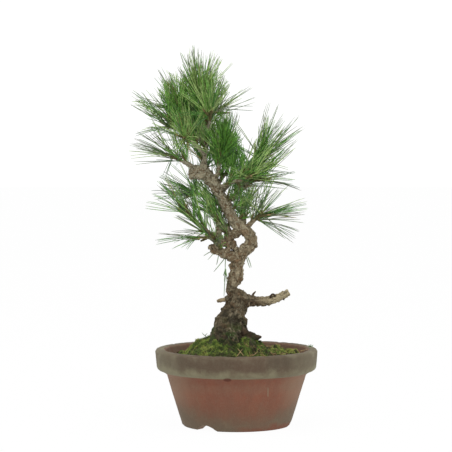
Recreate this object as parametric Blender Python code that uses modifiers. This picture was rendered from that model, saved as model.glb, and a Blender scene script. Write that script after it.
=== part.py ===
"""Japanese black pine kept as a small bonsai, built together with its round terracotta training pot.

Metres, +Z up. Places are measured from the pot's axis at floor level, and every piece is a child of
one empty, which sets the middle of the whole plant's box over the origin.
"""

import math
import random
from typing import NamedTuple

import bmesh
import bpy
from mathutils import Quaternion, Vector, noise

GAP = 0.0003  # clearance between neighbouring pieces
AXIS_SHIFT = 0.0136  # how far right of the plant's middle the pot's axis stands

# Pot
POT_HEIGHT = 0.0767
RIM_RADIUS = 0.0817
LIP_WIDTH = 0.0105
LIP_ROUND = 0.0030
BAND_HEIGHT = 0.0214
BAND_DRAFT = 0.0014
BAND_ROUND = 0.0045
BAND_CURL = -75  # degrees that the band's lower edge curls in under it
THROAT_FLARE = 0.0015  # how far the clay still stands out just under the band
THROAT_DROP = 0.0016
THROAT_HEIGHT = 0.0040  # over this height the band runs out into the straight wall
ARC_STEPS = 3
BODY_TOP_RADIUS = 0.0715
FOOT_RADIUS = 0.0545
WALL = 0.0065
FLOOR_TOP = 0.0115
FLOOR_ROUND = 0.0040
FOOT_ROUND = 0.0015
FOOT_RING_WIDTH = 0.0110
FOOT_RECESS = 0.0040
DRAIN_RADIUS = 0.0065
NOTCH_WIDTH = 0.0160
NOTCH_HEIGHT = 0.0045
NOTCH_STEPS = 40
NOTCHES = 3
FIRST_NOTCH = math.radians(-122)  # a little left of the front, which is at -90 degrees
POT_STEPS = 40

# Soil and moss
SOIL_TOP = 0.0680
GROUND = SOIL_TOP + GAP
MOUND_CENTRE = (-0.0090, 0.0010)
MOUND_RADIUS = (0.0430, 0.0400)
MOUND_HEIGHT = 0.0215
PATCH_CENTRE = (0.0510, 0.0100)
PATCH_RADIUS = (0.0130, 0.0180)
PATCH_HEIGHT = 0.0050
MOSS_STEPS = 24
MOSS_RINGS = (0.0, 0.25, 0.5, 0.7, 0.87, 1.0)  # where the mound's outline has its points, from middle to edge
MOSS_FALL = 3  # powers that set how late and how steeply a mound falls off to its edge
MOSS_ROUND = 0.7
MOSS_EVEN_SHARE = 0.2  # share of a mound's height below which its edge lies even
MOSS_LUMP = 0.0016
MOSS_LUMP_SIZE = 0.0110

# Bark: how far the surface swells and sinks, and how wide a swelling is
BARK_LUMP = 0.0011
BARK_LUMP_SIZE = 0.0075

# How finely limbs are drawn: steps between two stations of a line, and corners in a quarter turn
GNARLED_STEPS = 3
PLAIN_STEPS = 2
GNARLED_CORNERS = 3
PLAIN_CORNERS = 1
TWIG_CORNERS = 0

# Limb lines: x, y, z and radius at each station, from root to tip. The trunk's starts below its flat cut.
TRUNK_LINE = (
    (-0.0085, 0.0000, GROUND - 0.0060, 0.0240),
    (-0.0085, 0.0000, GROUND + 0.0060, 0.0205),
    (-0.0075, 0.0010, 0.0960, 0.0160),
    (-0.0050, 0.0018, 0.1060, 0.0134),
    (-0.0013, 0.0020, 0.1155, 0.0111),
    (0.0012, 0.0015, 0.1262, 0.0100),
    (-0.0030, 0.0010, 0.1342, 0.0064),
    (-0.0046, 0.0000, 0.1395, 0.0054),
    (-0.0020, -0.0015, 0.1455, 0.0070),
    (0.0010, -0.0025, 0.1570, 0.0057),
    (0.0008, -0.0030, 0.1640, 0.0064),
    (0.0035, -0.0040, 0.1700, 0.0064),
    (0.0095, -0.0055, 0.1760, 0.0058),
    (0.0152, -0.0070, 0.1838, 0.0058),
    (0.0125, -0.0060, 0.1915, 0.0058),
    (0.0062, -0.0035, 0.1955, 0.0058),
    (-0.0012, -0.0010, 0.2035, 0.0055),
    (-0.0075, 0.0010, 0.2130, 0.0053),
    (-0.0170, 0.0035, 0.2315, 0.0049),
    (-0.0215, 0.0035, 0.2405, 0.0054),
    (-0.0280, 0.0030, 0.2490, 0.0060),
    (-0.0335, 0.0025, 0.2570, 0.0040),
    (-0.0315, 0.0020, 0.2690, 0.0023),
    (-0.0305, 0.0020, 0.2800, 0.0021),
    (-0.0320, 0.0010, 0.2970, 0.0019),
    (-0.0355, 0.0000, 0.3130, 0.0017),
)
KNOB_LINE = (
    (-0.0270, 0.0030, 0.2490, 0.0050),
    (-0.0340, 0.0020, 0.2523, 0.0067),
    (-0.0410, 0.0010, 0.2533, 0.0064),
    (-0.0465, 0.0005, 0.2535, 0.0052),
)
# Every other limb: the limb it grows from, then its line. It starts inside that limb and is cut clear of it.
LIMBS = {
    "root_spur": ("trunk", (
        (0.0000, -0.0050, 0.0950, 0.0050),
        (0.0110, -0.0075, 0.0920, 0.0036),
        (0.0195, -0.0085, 0.0893, 0.0023),
        (0.0250, -0.0090, 0.0890, 0.0012),
    )),
    "dead_branch_right": ("trunk", (
        (0.0000, 0.0015, 0.1255, 0.0060),
        (0.0130, -0.0010, 0.1250, 0.0052),
        (0.0255, -0.0025, 0.1243, 0.0046),
        (0.0385, -0.0020, 0.1265, 0.0041),
        (0.0520, 0.0000, 0.1330, 0.0031),
    )),
    "dead_stub_left": ("trunk", (
        (-0.0060, 0.0005, 0.1262, 0.0026),
        (-0.0140, -0.0015, 0.1255, 0.0021),
        (-0.0195, -0.0025, 0.1240, 0.0015),
    )),
    "bough_lower_left": ("trunk", (
        (0.0015, -0.0030, 0.1665, 0.0050),
        (-0.0070, -0.0045, 0.1705, 0.0047),
        (-0.0150, -0.0055, 0.1738, 0.0046),
        (-0.0245, -0.0060, 0.1785, 0.0044),
    )),
    "bough_left_riser": ("bough_lower_left", (
        (-0.0205, -0.0050, 0.1770, 0.0042),
        (-0.0172, -0.0040, 0.1845, 0.0044),
        (-0.0182, -0.0035, 0.1915, 0.0034),
        (-0.0170, -0.0032, 0.1955, 0.0030),
        (-0.0180, -0.0035, 0.2000, 0.0024),
    )),
    "bough_inner_left": ("trunk", (
        (0.0040, -0.0030, 0.1945, 0.0036),
        (-0.0030, -0.0010, 0.1905, 0.0036),
        (-0.0080, 0.0000, 0.1905, 0.0037),
        (-0.0092, 0.0030, 0.1965, 0.0032),
        (-0.0130, 0.0090, 0.2010, 0.0021),
    )),
    "bough_left_shoot": ("bough_left_riser", (
        (-0.0185, -0.0035, 0.1880, 0.0028),
        (-0.0290, -0.0065, 0.1945, 0.0021),
        (-0.0400, -0.0090, 0.2030, 0.0016),
    )),
    "bough_low_left": ("bough_left_riser", (
        (-0.0195, -0.0030, 0.1835, 0.0026),
        (-0.0240, -0.0090, 0.1870, 0.0019),
        (-0.0285, -0.0130, 0.1885, 0.0015),
    )),
    "bough_lower_right": ("trunk", (
        (0.0060, -0.0035, 0.1955, 0.0027),
        (0.0140, -0.0060, 0.2020, 0.0021),
        (0.0190, -0.0075, 0.2075, 0.0018),
    )),
    "bough_right": ("trunk", (
        (-0.0120, 0.0030, 0.2230, 0.0036),
        (-0.0020, 0.0095, 0.2290, 0.0029),
        (0.0070, 0.0120, 0.2390, 0.0023),
        (0.0150, 0.0110, 0.2550, 0.0018),
    )),
    "bough_right_mid": ("bough_right", (
        (-0.0005, 0.0100, 0.2305, 0.0024),
        (0.0080, 0.0060, 0.2375, 0.0019),
        (0.0135, 0.0020, 0.2430, 0.0015),
    )),
    "bough_centre": ("trunk", (
        (-0.0225, 0.0035, 0.2430, 0.0028),
        (-0.0185, -0.0010, 0.2530, 0.0021),
        (-0.0175, -0.0030, 0.2610, 0.0018),
        (-0.0150, -0.0040, 0.2675, 0.0016),
    )),
    "bough_front_right": ("trunk", (
        (-0.0195, 0.0035, 0.2360, 0.0026),
        (-0.0060, -0.0050, 0.2425, 0.0020),
        (0.0060, -0.0150, 0.2470, 0.0016),
    )),
    "bough_upper_left": ("trunk", (
        (-0.0410, 0.0010, 0.2560, 0.0026),
        (-0.0490, -0.0010, 0.2615, 0.0019),
        (-0.0560, -0.0030, 0.2650, 0.0015),
    )),
    "bough_front_left": ("trunk", (
        (-0.0312, 0.0020, 0.2715, 0.0020),
        (-0.0390, -0.0090, 0.2790, 0.0018),
        (-0.0460, -0.0200, 0.2850, 0.0015),
    )),
    "bough_top_left": ("trunk", (
        (-0.0306, 0.0020, 0.2830, 0.0020),
        (-0.0420, -0.0020, 0.2890, 0.0017),
        (-0.0540, -0.0050, 0.2935, 0.0014),
    )),
    "bough_top_left_upper": ("trunk", (
        (-0.0320, 0.0010, 0.2955, 0.0018),
        (-0.0420, 0.0050, 0.3010, 0.0015),
        (-0.0490, 0.0070, 0.3065, 0.0013),
    )),
    "bough_top_right": ("trunk", (
        (-0.0325, 0.0010, 0.3010, 0.0017),
        (-0.0295, 0.0020, 0.3055, 0.0014),
        (-0.0265, 0.0030, 0.3095, 0.0013),
    )),
    "bough_front_top": ("trunk", (
        (-0.0312, 0.0015, 0.2915, 0.0018),
        (-0.0280, -0.0100, 0.2990, 0.0015),
        (-0.0265, -0.0190, 0.3050, 0.0013),
    )),
    "bough_back_top": ("trunk", (
        (-0.0306, 0.0020, 0.2765, 0.0021),
        (-0.0340, 0.0140, 0.2830, 0.0018),
        (-0.0370, 0.0260, 0.2890, 0.0015),
    )),
    "bough_back_right": ("trunk", (
        (-0.0170, 0.0035, 0.2315, 0.0030),
        (-0.0100, 0.0160, 0.2390, 0.0023),
        (-0.0010, 0.0280, 0.2450, 0.0017),
    )),
    "bough_back_left": ("trunk", (
        (-0.0085, 0.0015, 0.2165, 0.0030),
        (-0.0210, 0.0140, 0.2230, 0.0022),
        (-0.0330, 0.0250, 0.2290, 0.0017),
    )),
    "bough_back_low": ("trunk", (
        (0.0060, -0.0030, 0.2010, 0.0030),
        (0.0070, 0.0120, 0.2070, 0.0022),
        (0.0085, 0.0250, 0.2160, 0.0017),
    )),
    "bough_back_mid": ("trunk", (
        (-0.0215, 0.0035, 0.2405, 0.0028),
        (-0.0160, 0.0130, 0.2455, 0.0021),
        (-0.0115, 0.0215, 0.2510, 0.0016),
    )),
}
GNARLED = ("dead_branch_right", "bough_lower_left", "bough_left_riser")


class Mass(NamedTuple):
    """One mass of foliage: a stem that forks into shoots, each clothed with needles."""

    name: str
    carrier: str  # the limb whose tip it grows on from
    heading: tuple  # the way its stem turns to
    stem: float  # how far the stem runs before it forks
    shoots: int
    fork: float  # degrees between the heading and a side shoot
    turn: float  # degrees that the first side shoot is turned round the heading
    needle: float  # the longest needle
    opening: float  # degrees between a shoot and its lowest needles


MASSES = (
    Mass("foliage_apex", "trunk", (0.03, 0.00, 1.0), 0.0085, 3, 26, 0, 0.0530, 48),
    Mass("foliage_mid_left", "bough_upper_left", (-0.92, -0.10, 0.42), 0.002, 1, 30, 0, 0.0490, 42),
    Mass("foliage_right_upper", "bough_right", (0.52, -0.08, 0.85), 0.009, 3, 34, 0, 0.0500, 52),
    Mass("foliage_lower_right", "bough_lower_right", (1.00, -0.10, 0.16), 0.002, 2, 32, 90, 0.0500, 52),
    Mass("foliage_lower_left", "bough_left_shoot", (-0.78, -0.15, 0.66), 0.006, 2, 26, 180, 0.0480, 54),
    Mass("foliage_low_left", "bough_low_left", (-1.00, -0.10, -0.04), 0.002, 1, 30, 0, 0.0430, 38),
    Mass("foliage_top_left", "bough_top_left", (-0.88, -0.15, 0.42), 0.006, 2, 30, 180, 0.0480, 52),
    Mass("foliage_top_left_upper", "bough_top_left_upper", (-0.55, 0.10, 0.85), 0.004, 2, 30, 30, 0.0450, 52),
    Mass("foliage_top_right", "bough_top_right", (0.85, 0.05, 0.50), 0.003, 2, 28, 200, 0.0440, 46),
    Mass("foliage_centre", "bough_centre", (0.22, -0.10, 1.00), 0.002, 2, 20, 180, 0.0380, 34),
    Mass("foliage_right_mid", "bough_right_mid", (1.00, -0.05, 0.08), 0.004, 2, 28, 90, 0.0500, 50),
    Mass("foliage_left_inner", "bough_left_riser", (-0.38, -0.20, 0.90), 0.006, 1, 30, 0, 0.0400, 52),
    Mass("foliage_inner_back", "bough_inner_left", (-0.45, 0.75, 0.45), 0.005, 1, 30, 0, 0.0440, 56),
    Mass("foliage_front_right", "bough_front_right", (0.75, -0.65, 0.30), 0.005, 2, 34, 90, 0.0460, 56),
    Mass("foliage_front_left", "bough_front_left", (-0.65, -0.75, 0.25), 0.005, 2, 34, 90, 0.0450, 52),
    Mass("foliage_front_top", "bough_front_top", (0.10, -0.85, 0.55), 0.004, 2, 34, 90, 0.0450, 54),
    Mass("foliage_back_top", "bough_back_top", (-0.10, 0.90, 0.50), 0.006, 3, 38, 90, 0.0450, 58),
    Mass("foliage_back_right", "bough_back_right", (0.55, 0.80, 0.25), 0.006, 3, 38, 30, 0.0450, 58),
    Mass("foliage_back_left", "bough_back_left", (-0.75, 0.60, 0.20), 0.006, 3, 38, 30, 0.0430, 56),
    Mass("foliage_back_low", "bough_back_low", (0.20, 0.90, 0.35), 0.006, 2, 36, 0, 0.0440, 56),
    Mass("foliage_back_mid", "bough_back_mid", (0.25, 0.60, 0.75), 0.005, 2, 34, 60, 0.0420, 56),
)
BEND_LENGTH = 0.0015  # how far a stem runs straight on from its carrier
STEM_SHARE = 0.95  # radius of a stem's start, as a share of its carrier's tip
FORK_SPREAD = 4  # degrees either way that a side shoot's angle differs
SHOOT_LENGTH = 0.0135
SHOOT_LENGTHS = (0.9, 1.1)  # shortest and longest, as shares of that length
SHOOT_ROOT = 0.5  # how far back into the fork a shoot starts, in radii of the carrier's tip
SHOOT_ROOT_SHARE = 0.8  # radius of a shoot's start, as a share of its carrier's tip
SHOOT_SWELL = 0.0021  # radius of a shoot where the needle bases pack round it
SWELL_FROM = 0.35  # shares of a shoot between which it is swollen
SWELL_TO = 0.75
SWELL_LEFT = 0.9  # what is left of the swelling at its upper end
SHOOT_TIP = 0.0012
NEEDLES_ON_SHOOT = 12
NEEDLE_ROOT = 0.0009  # radius of a needle where it leaves its shoot
NEEDLE_SIDES = 3
FIRST_NEEDLE = 0.20  # shares of a shoot where its first and last needles stand
LAST_NEEDLE = 0.95
NARROWEST_TILT = 14  # degrees from the shoot to its last needles
TILT_FALL = 0.8  # power that sets how fast the needles close in towards the tip
TILT_SPREAD = 6  # degrees either way that a needle's tilt differs
TURN_SPREAD = 0.3  # radians either way that a needle's turn differs
TURN_PER_TRY = 0.35  # radians that a needle is turned on when it would touch other growth
SHORTEST_SHARE = 0.80  # the shortest needle, as a share of the longest
NEEDLE_TRIES = 8
CROWN_HALF_DEPTH = 0.0800  # no needle passes the rim in front or behind
CROWN_TOP = 0.3815
CROWN_LEFT = -0.1090
CROWN_RIGHT = 0.0725
GOLDEN_ANGLE = math.radians(137.508)
SEED = 7

SMOOTH_ANGLE = math.radians(40)  # edges sharper than this stay sharp
SAME_POINT = 0.000001
SCRAP_POINT = 0.000002  # points closer than this are one after a cut or a union


class Finish(NamedTuple):
    """How a piece looks: its 8-bit screen colour and its roughness."""

    shade: tuple
    roughness: float


TERRACOTTA = Finish((118, 78, 64), 0.85)
SOIL = Finish((84, 68, 52), 0.95)
MOSS = Finish((96, 122, 38), 0.95)
BARK = Finish((112, 94, 76), 0.9)
DEAD_WOOD = Finish((140, 122, 100), 0.9)
NEEDLES = Finish((72, 116, 46), 0.6)


def linear_colour(shade):
    """The linear colour that Blender mixes with, from an 8-bit screen colour."""
    channels = [value / 255 for value in shade]
    return [c / 12.92 if c < 0.04045 else ((c + 0.055) / 1.055) ** 2.4 for c in channels] + [1.0]


def dress(piece, finish):
    """Give a piece a material of its own in this finish."""
    material = bpy.data.materials.new(piece.name)
    material.use_nodes = True
    surface = material.node_tree.nodes["Principled BSDF"]
    surface.inputs["Base Color"].default_value = linear_colour(finish.shade)
    surface.inputs["Roughness"].default_value = finish.roughness
    surface.inputs["Metallic"].default_value = 0.0
    piece.data.materials.clear()
    piece.data.materials.append(material)


def place(name, data, collection, parent=None):
    """Put an object of this data in a collection, under its parent."""
    piece = bpy.data.objects.new(name, data)
    piece.parent = parent
    collection.objects.link(piece)
    return piece


def evaluated_mesh(piece):
    """A new mesh of what a piece's modifiers or its curve settings make of it."""
    depsgraph = bpy.context.evaluated_depsgraph_get()
    return bpy.data.meshes.new_from_object(piece.evaluated_get(depsgraph))


def smooth_line(stations, steps):
    """Points on one smooth line through the stations, with the radius as the fourth value."""
    knots = [Vector(station) for station in stations]
    knots = [2 * knots[0] - knots[1]] + knots + [2 * knots[-1] - knots[-2]]
    points = []
    for before, start, end, after in zip(knots, knots[1:], knots[2:], knots[3:]):
        for step in range(steps):
            share = step / steps
            points.append(0.5 * (
                2 * start
                + (end - before) * share
                + (2 * before - 5 * start + 4 * end - after) * share**2
                + (3 * start - 3 * end + after - before) * share**3
            ))
    points.append(knots[-2])
    return points


def tube(name, points, corners, collection, parent=None):
    """A tapering limb as a closed mesh: a bevelled curve whose points carry the radius."""
    curve = bpy.data.curves.new(name, "CURVE")
    curve.dimensions = "3D"
    curve.bevel_depth = 1.0
    curve.bevel_resolution = corners
    curve.use_fill_caps = True
    spline = curve.splines.new("POLY")
    spline.points.add(len(points) - 1)
    for spline_point, point in zip(spline.points, points):
        spline_point.co = (point[0], point[1], point[2], 1.0)
        spline_point.radius = point[3]
    guide = place(name + "_line", curve, collection, parent)
    mesh = evaluated_mesh(guide)
    bpy.data.objects.remove(guide)
    shape = bmesh.new()
    shape.from_mesh(mesh)
    bmesh.ops.remove_doubles(shape, verts=shape.verts, dist=SAME_POINT)
    bmesh.ops.recalc_face_normals(shape, faces=shape.faces)
    shape.to_mesh(mesh)
    shape.free()
    return place(name, mesh, collection, parent)


def roughen(piece, lump, size, floor):
    """Swell and sink a piece's surface above the floor level, which stays flat."""
    shape = bmesh.new()
    shape.from_mesh(piece.data)
    shape.normal_update()
    moves = [(vertex, vertex.normal * noise.noise(vertex.co / size) * lump) for vertex in shape.verts]
    for vertex, move in moves:
        if vertex.co.z > floor:
            vertex.co += move
    shape.to_mesh(piece.data)
    shape.free()


def cut_flat(piece, height):
    """Cut a piece off level at a height and close the cut with one flat face."""
    shape = bmesh.new()
    shape.from_mesh(piece.data)
    cut = bmesh.ops.bisect_plane(
        shape,
        geom=shape.verts[:] + shape.edges[:] + shape.faces[:],
        plane_co=(0.0, 0.0, height),
        plane_no=(0.0, 0.0, 1.0),
        clear_inner=True,
    )
    rim = [edge for edge in cut["geom_cut"] if isinstance(edge, bmesh.types.BMEdge)]
    bmesh.ops.edgeloop_fill(shape, edges=rim)
    bmesh.ops.recalc_face_normals(shape, faces=shape.faces)
    shape.to_mesh(piece.data)
    shape.free()


def islands(shape):
    """The separate bodies of a bmesh, as lists of their faces."""
    left = set(shape.faces)
    found = []
    while left:
        front = [left.pop()]
        body = list(front)
        while front:
            for edge in front.pop().edges:
                fresh = [face for face in edge.link_faces if face in left]
                left.difference_update(fresh)
                body.extend(fresh)
                front.extend(fresh)
        found.append(body)
    return found


def keep_main_body(piece):
    """Drop what a cut or a union leaves beside the main body, scraps and sealed hollows alike."""
    shape = bmesh.new()
    shape.from_mesh(piece.data)
    bmesh.ops.remove_doubles(shape, verts=shape.verts, dist=SCRAP_POINT)
    bodies = sorted(islands(shape), key=lambda body: sum(face.calc_area() for face in body))
    scraps = [face for body in bodies[:-1] for face in body]
    bmesh.ops.delete(shape, geom=scraps, context="FACES")
    bmesh.ops.triangulate(shape, faces=shape.faces)
    shape.to_mesh(piece.data)
    shape.free()


def is_closed(mesh):
    """Whether every edge of a mesh lies between exactly two faces."""
    shape = bmesh.new()
    shape.from_mesh(mesh)
    closed = all(len(edge.link_faces) == 2 for edge in shape.edges)
    shape.free()
    return closed


def apply_modifiers(piece):
    """Keep what a piece's modifiers make of it as its own mesh."""
    mesh = evaluated_mesh(piece)
    piece.modifiers.clear()
    piece.data = mesh
    keep_main_body(piece)


def clearance_of(piece, cutters, parent):
    """A guide that stands the clearance proud of a piece all over, to cut its neighbours with."""
    guide = place(piece.name + "_clearance", piece.data.copy(), cutters, parent)
    guide.hide_render = True
    guide.display_type = "WIRE"
    shape = bmesh.new()
    shape.from_mesh(guide.data)
    shape.normal_update()
    moves = [(vertex, vertex.normal * GAP) for vertex in shape.verts]
    for vertex, move in moves:
        vertex.co += move
    shape.to_mesh(guide.data)
    shape.free()
    return guide


def cut_clear(piece, guides):
    """Cut a piece clear of its neighbours."""
    for guide in guides:
        cut = piece.modifiers.new("clear of " + guide.name, "BOOLEAN")
        cut.operation = "DIFFERENCE"
        cut.object = guide
    apply_modifiers(piece)


def arc(centre_x, centre_z, radius, start, end, steps):
    """Points of an arc in a turned profile, from one angle in degrees to the other."""
    angles = [math.radians(start + (end - start) * step / steps) for step in range(steps + 1)]
    return [(centre_x + radius * math.cos(a), centre_z + radius * math.sin(a)) for a in angles]


def wall_radius(height):
    """Radius of the pot's straight outer wall at a height, drawn on upwards behind the band."""
    band_foot = POT_HEIGHT - BAND_HEIGHT
    return FOOT_RADIUS + (BODY_TOP_RADIUS - FOOT_RADIUS) * height / band_foot


def turned(name, profile, closed, steps, collection, parent):
    """A turned body from a profile that runs down its outer side."""
    count = len(profile)
    edges = [(index, index + 1) for index in range(count - 1)]
    if closed:
        edges.append((count - 1, 0))
    mesh = bpy.data.meshes.new(name)
    mesh.from_pydata([(x, 0.0, z) for x, z in profile], edges, [])
    piece = place(name, mesh, collection, parent)
    screw = piece.modifiers.new("turn", "SCREW")
    screw.steps = steps
    screw.render_steps = steps
    screw.use_merge_vertices = True
    screw.merge_threshold = 10 * SAME_POINT
    return piece


def build_pot(collection, cutters, parent):
    """The training pot: thick banded rim, straight taper, recessed foot with a drain hole and notches."""
    band_foot = POT_HEIGHT - BAND_HEIGHT
    lip_inner = RIM_RADIUS - LIP_WIDTH
    band_low = RIM_RADIUS - BAND_DRAFT
    ring_inner = FOOT_RADIUS - FOOT_RING_WIDTH
    inner_foot = wall_radius(FLOOR_TOP + FLOOR_ROUND) - WALL
    profile = arc(lip_inner + LIP_ROUND, POT_HEIGHT - LIP_ROUND, LIP_ROUND, 180, 90, ARC_STEPS)
    profile += arc(RIM_RADIUS - LIP_ROUND, POT_HEIGHT - LIP_ROUND, LIP_ROUND, 90, 0, ARC_STEPS)
    profile += arc(band_low - BAND_ROUND, band_foot + BAND_ROUND, BAND_ROUND, 0, BAND_CURL, ARC_STEPS)
    profile += [
        (BODY_TOP_RADIUS + THROAT_FLARE, band_foot - THROAT_DROP),
        (wall_radius(band_foot - THROAT_HEIGHT), band_foot - THROAT_HEIGHT),
        (wall_radius(FOOT_ROUND), FOOT_ROUND),
        (FOOT_RADIUS - FOOT_ROUND, 0.0),
        (ring_inner, 0.0),
        (ring_inner - FOOT_ROUND, FOOT_RECESS),
        (DRAIN_RADIUS, FOOT_RECESS),
        (DRAIN_RADIUS, FLOOR_TOP),
        (inner_foot - FLOOR_ROUND, FLOOR_TOP),
        (inner_foot, FLOOR_TOP + FLOOR_ROUND),
    ]
    pot = turned("pot", profile, True, POT_STEPS, collection, parent)
    notch_radius = ((NOTCH_WIDTH / 2) ** 2 + NOTCH_HEIGHT**2) / (2 * NOTCH_HEIGHT)
    reach = FOOT_RADIUS - FOOT_RING_WIDTH / 2
    for index in range(NOTCHES):
        angle = FIRST_NOTCH + index * math.tau / NOTCHES
        bpy.ops.mesh.primitive_cylinder_add(
            vertices=NOTCH_STEPS,
            radius=notch_radius,
            depth=2 * FOOT_RING_WIDTH,
            location=(reach * math.cos(angle), reach * math.sin(angle), NOTCH_HEIGHT - notch_radius),
            rotation=(math.pi / 2, 0.0, angle + math.pi / 2),
        )
        cutter = bpy.context.active_object
        cutter.name = "notch_cutter_" + str(index + 1)
        cutter.parent = parent
        for holder in list(cutter.users_collection):
            holder.objects.unlink(cutter)
        cutters.objects.link(cutter)
        cutter.hide_render = True
        cutter.display_type = "WIRE"
        cut = pot.modifiers.new("notch", "BOOLEAN")
        cut.operation = "DIFFERENCE"
        cut.object = cutter
    apply_modifiers(pot)
    return pot


def build_soil(collection, parent):
    """The soil that fills the pot to a finger's breadth below its lip."""
    low = FLOOR_TOP + GAP
    inner_foot = wall_radius(FLOOR_TOP + FLOOR_ROUND) - WALL
    lip_inner = RIM_RADIUS - LIP_WIDTH
    lip_height = POT_HEIGHT - LIP_ROUND
    round_height = FLOOR_TOP + FLOOR_ROUND
    share = (SOIL_TOP - round_height) / (lip_height - round_height)
    top_radius = inner_foot + (lip_inner - inner_foot) * share
    profile = [
        (0.0, SOIL_TOP),
        (top_radius - 2 * GAP, SOIL_TOP),
        (inner_foot - 2 * GAP, round_height),
        (inner_foot - FLOOR_ROUND - GAP, low),
        (0.0, low),
    ]
    return turned("soil", profile, False, POT_STEPS, collection, parent)


def build_moss(name, centre, radii, height, collection, parent):
    """A low cushion of moss lying on the soil, lumpy on top and flat below."""
    profile = [(share, (1 - share**MOSS_FALL) ** MOSS_ROUND) for share in MOSS_RINGS] + [(0.0, 0.0)]
    moss = turned(name, profile, False, MOSS_STEPS, collection, parent)
    mesh = evaluated_mesh(moss)
    moss.modifiers.clear()
    moss.data = mesh
    for vertex in mesh.vertices:
        vertex.co.x = centre[0] + vertex.co.x * radii[0]
        vertex.co.y = centre[1] + vertex.co.y * radii[1]
        vertex.co.z = GROUND + vertex.co.z * height
    roughen(moss, MOSS_LUMP, MOSS_LUMP_SIZE, GROUND + height * MOSS_EVEN_SHARE)
    return moss


def build_trunk(collection, parent):
    """The trunk in one piece: root flare, crooks, the old cut end and the leader above it."""
    trunk = tube("trunk", smooth_line(TRUNK_LINE, PLAIN_STEPS), GNARLED_CORNERS, collection, parent)
    roughen(trunk, BARK_LUMP, BARK_LUMP_SIZE, 0.0)
    cut_flat(trunk, GROUND)
    knob = tube("knob", smooth_line(KNOB_LINE, PLAIN_STEPS), GNARLED_CORNERS, collection, parent)
    roughen(knob, BARK_LUMP, BARK_LUMP_SIZE, 0.0)
    join = trunk.modifiers.new("old cut end", "BOOLEAN")
    join.operation = "UNION"
    join.object = knob
    apply_modifiers(trunk)
    bpy.data.objects.remove(knob)
    return trunk


def build_limbs(trunk, collection, cutters, parent):
    """Every limb that grows from the trunk or from another limb, cut clear of what carries it."""
    guides = {"trunk": clearance_of(trunk, cutters, parent)}
    carriers = {carrier for carrier, line in LIMBS.values()}
    limbs = {}
    for name, (carrier, line) in LIMBS.items():
        if name in GNARLED:
            limb = tube(name, smooth_line(line, GNARLED_STEPS), GNARLED_CORNERS, collection, parent)
            roughen(limb, BARK_LUMP, BARK_LUMP_SIZE, 0.0)
        else:
            limb = tube(name, smooth_line(line, PLAIN_STEPS), PLAIN_CORNERS, collection, parent)
        cut_clear(limb, [guides[carrier]])
        if name in carriers:
            guides[name] = clearance_of(limb, cutters, parent)
        limbs[name] = limb
    return limbs, guides


class Rod(NamedTuple):
    """A straight round stretch that other growth keeps clear of."""

    start: Vector
    end: Vector
    radius: float
    owner: str


def rods_of(points, owner):
    """The straight stretches of a limb or twig."""
    return [
        Rod(a.to_3d(), b.to_3d(), max(a[3], b[3]), owner) for a, b in zip(points, points[1:])
    ]


def gap_between(one, other):
    """Distance between the axes of two rods."""
    u = one.end - one.start
    v = other.end - other.start
    w = one.start - other.start
    a, b, c, d, e = u.dot(u), u.dot(v), v.dot(v), u.dot(w), v.dot(w)
    across = a * c - b * b
    s = min(max((b * e - c * d) / across, 0.0), 1.0) if across > 1e-16 else 0.0
    t = min(max((b * s + e) / c, 0.0), 1.0)
    s = min(max((b * t - d) / a, 0.0), 1.0)
    return (w + u * s - v * t).length


def is_clear(rod, others):
    """Whether a rod stays the clearance away from the growth of every other owner."""
    middle = (rod.start + rod.end) / 2
    reach = (rod.end - rod.start).length / 2 + rod.radius + 2 * GAP
    for other in others:
        if other.owner == rod.owner:
            continue
        other_reach = (other.end - other.start).length / 2 + other.radius
        if (middle - (other.start + other.end) / 2).length > reach + other_reach:
            continue
        if gap_between(rod, other) < rod.radius + other.radius + 2 * GAP:
            return False
    return True


def in_crown(point):
    """Whether a needle's point lies within the crown's own reach."""
    return (
        CROWN_LEFT <= point.x <= CROWN_RIGHT
        and abs(point.y) <= CROWN_HALF_DEPTH
        and point.z <= CROWN_TOP
    )


def tilted(axis, tilt, turn):
    """A direction tilted from an axis and turned round it, in radians."""
    across = Vector((0.0, 1.0, 0.0)) if abs(axis.y) < 0.8 else Vector((1.0, 0.0, 0.0))
    side = axis.cross(across).normalized()
    side.rotate(Quaternion(axis, turn))
    return axis * math.cos(tilt) + side * math.sin(tilt)


class Growth(NamedTuple):
    """What a mass is grown from: the lines of its twigs and the rods of its needles."""

    twigs: list
    needles: list


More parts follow.
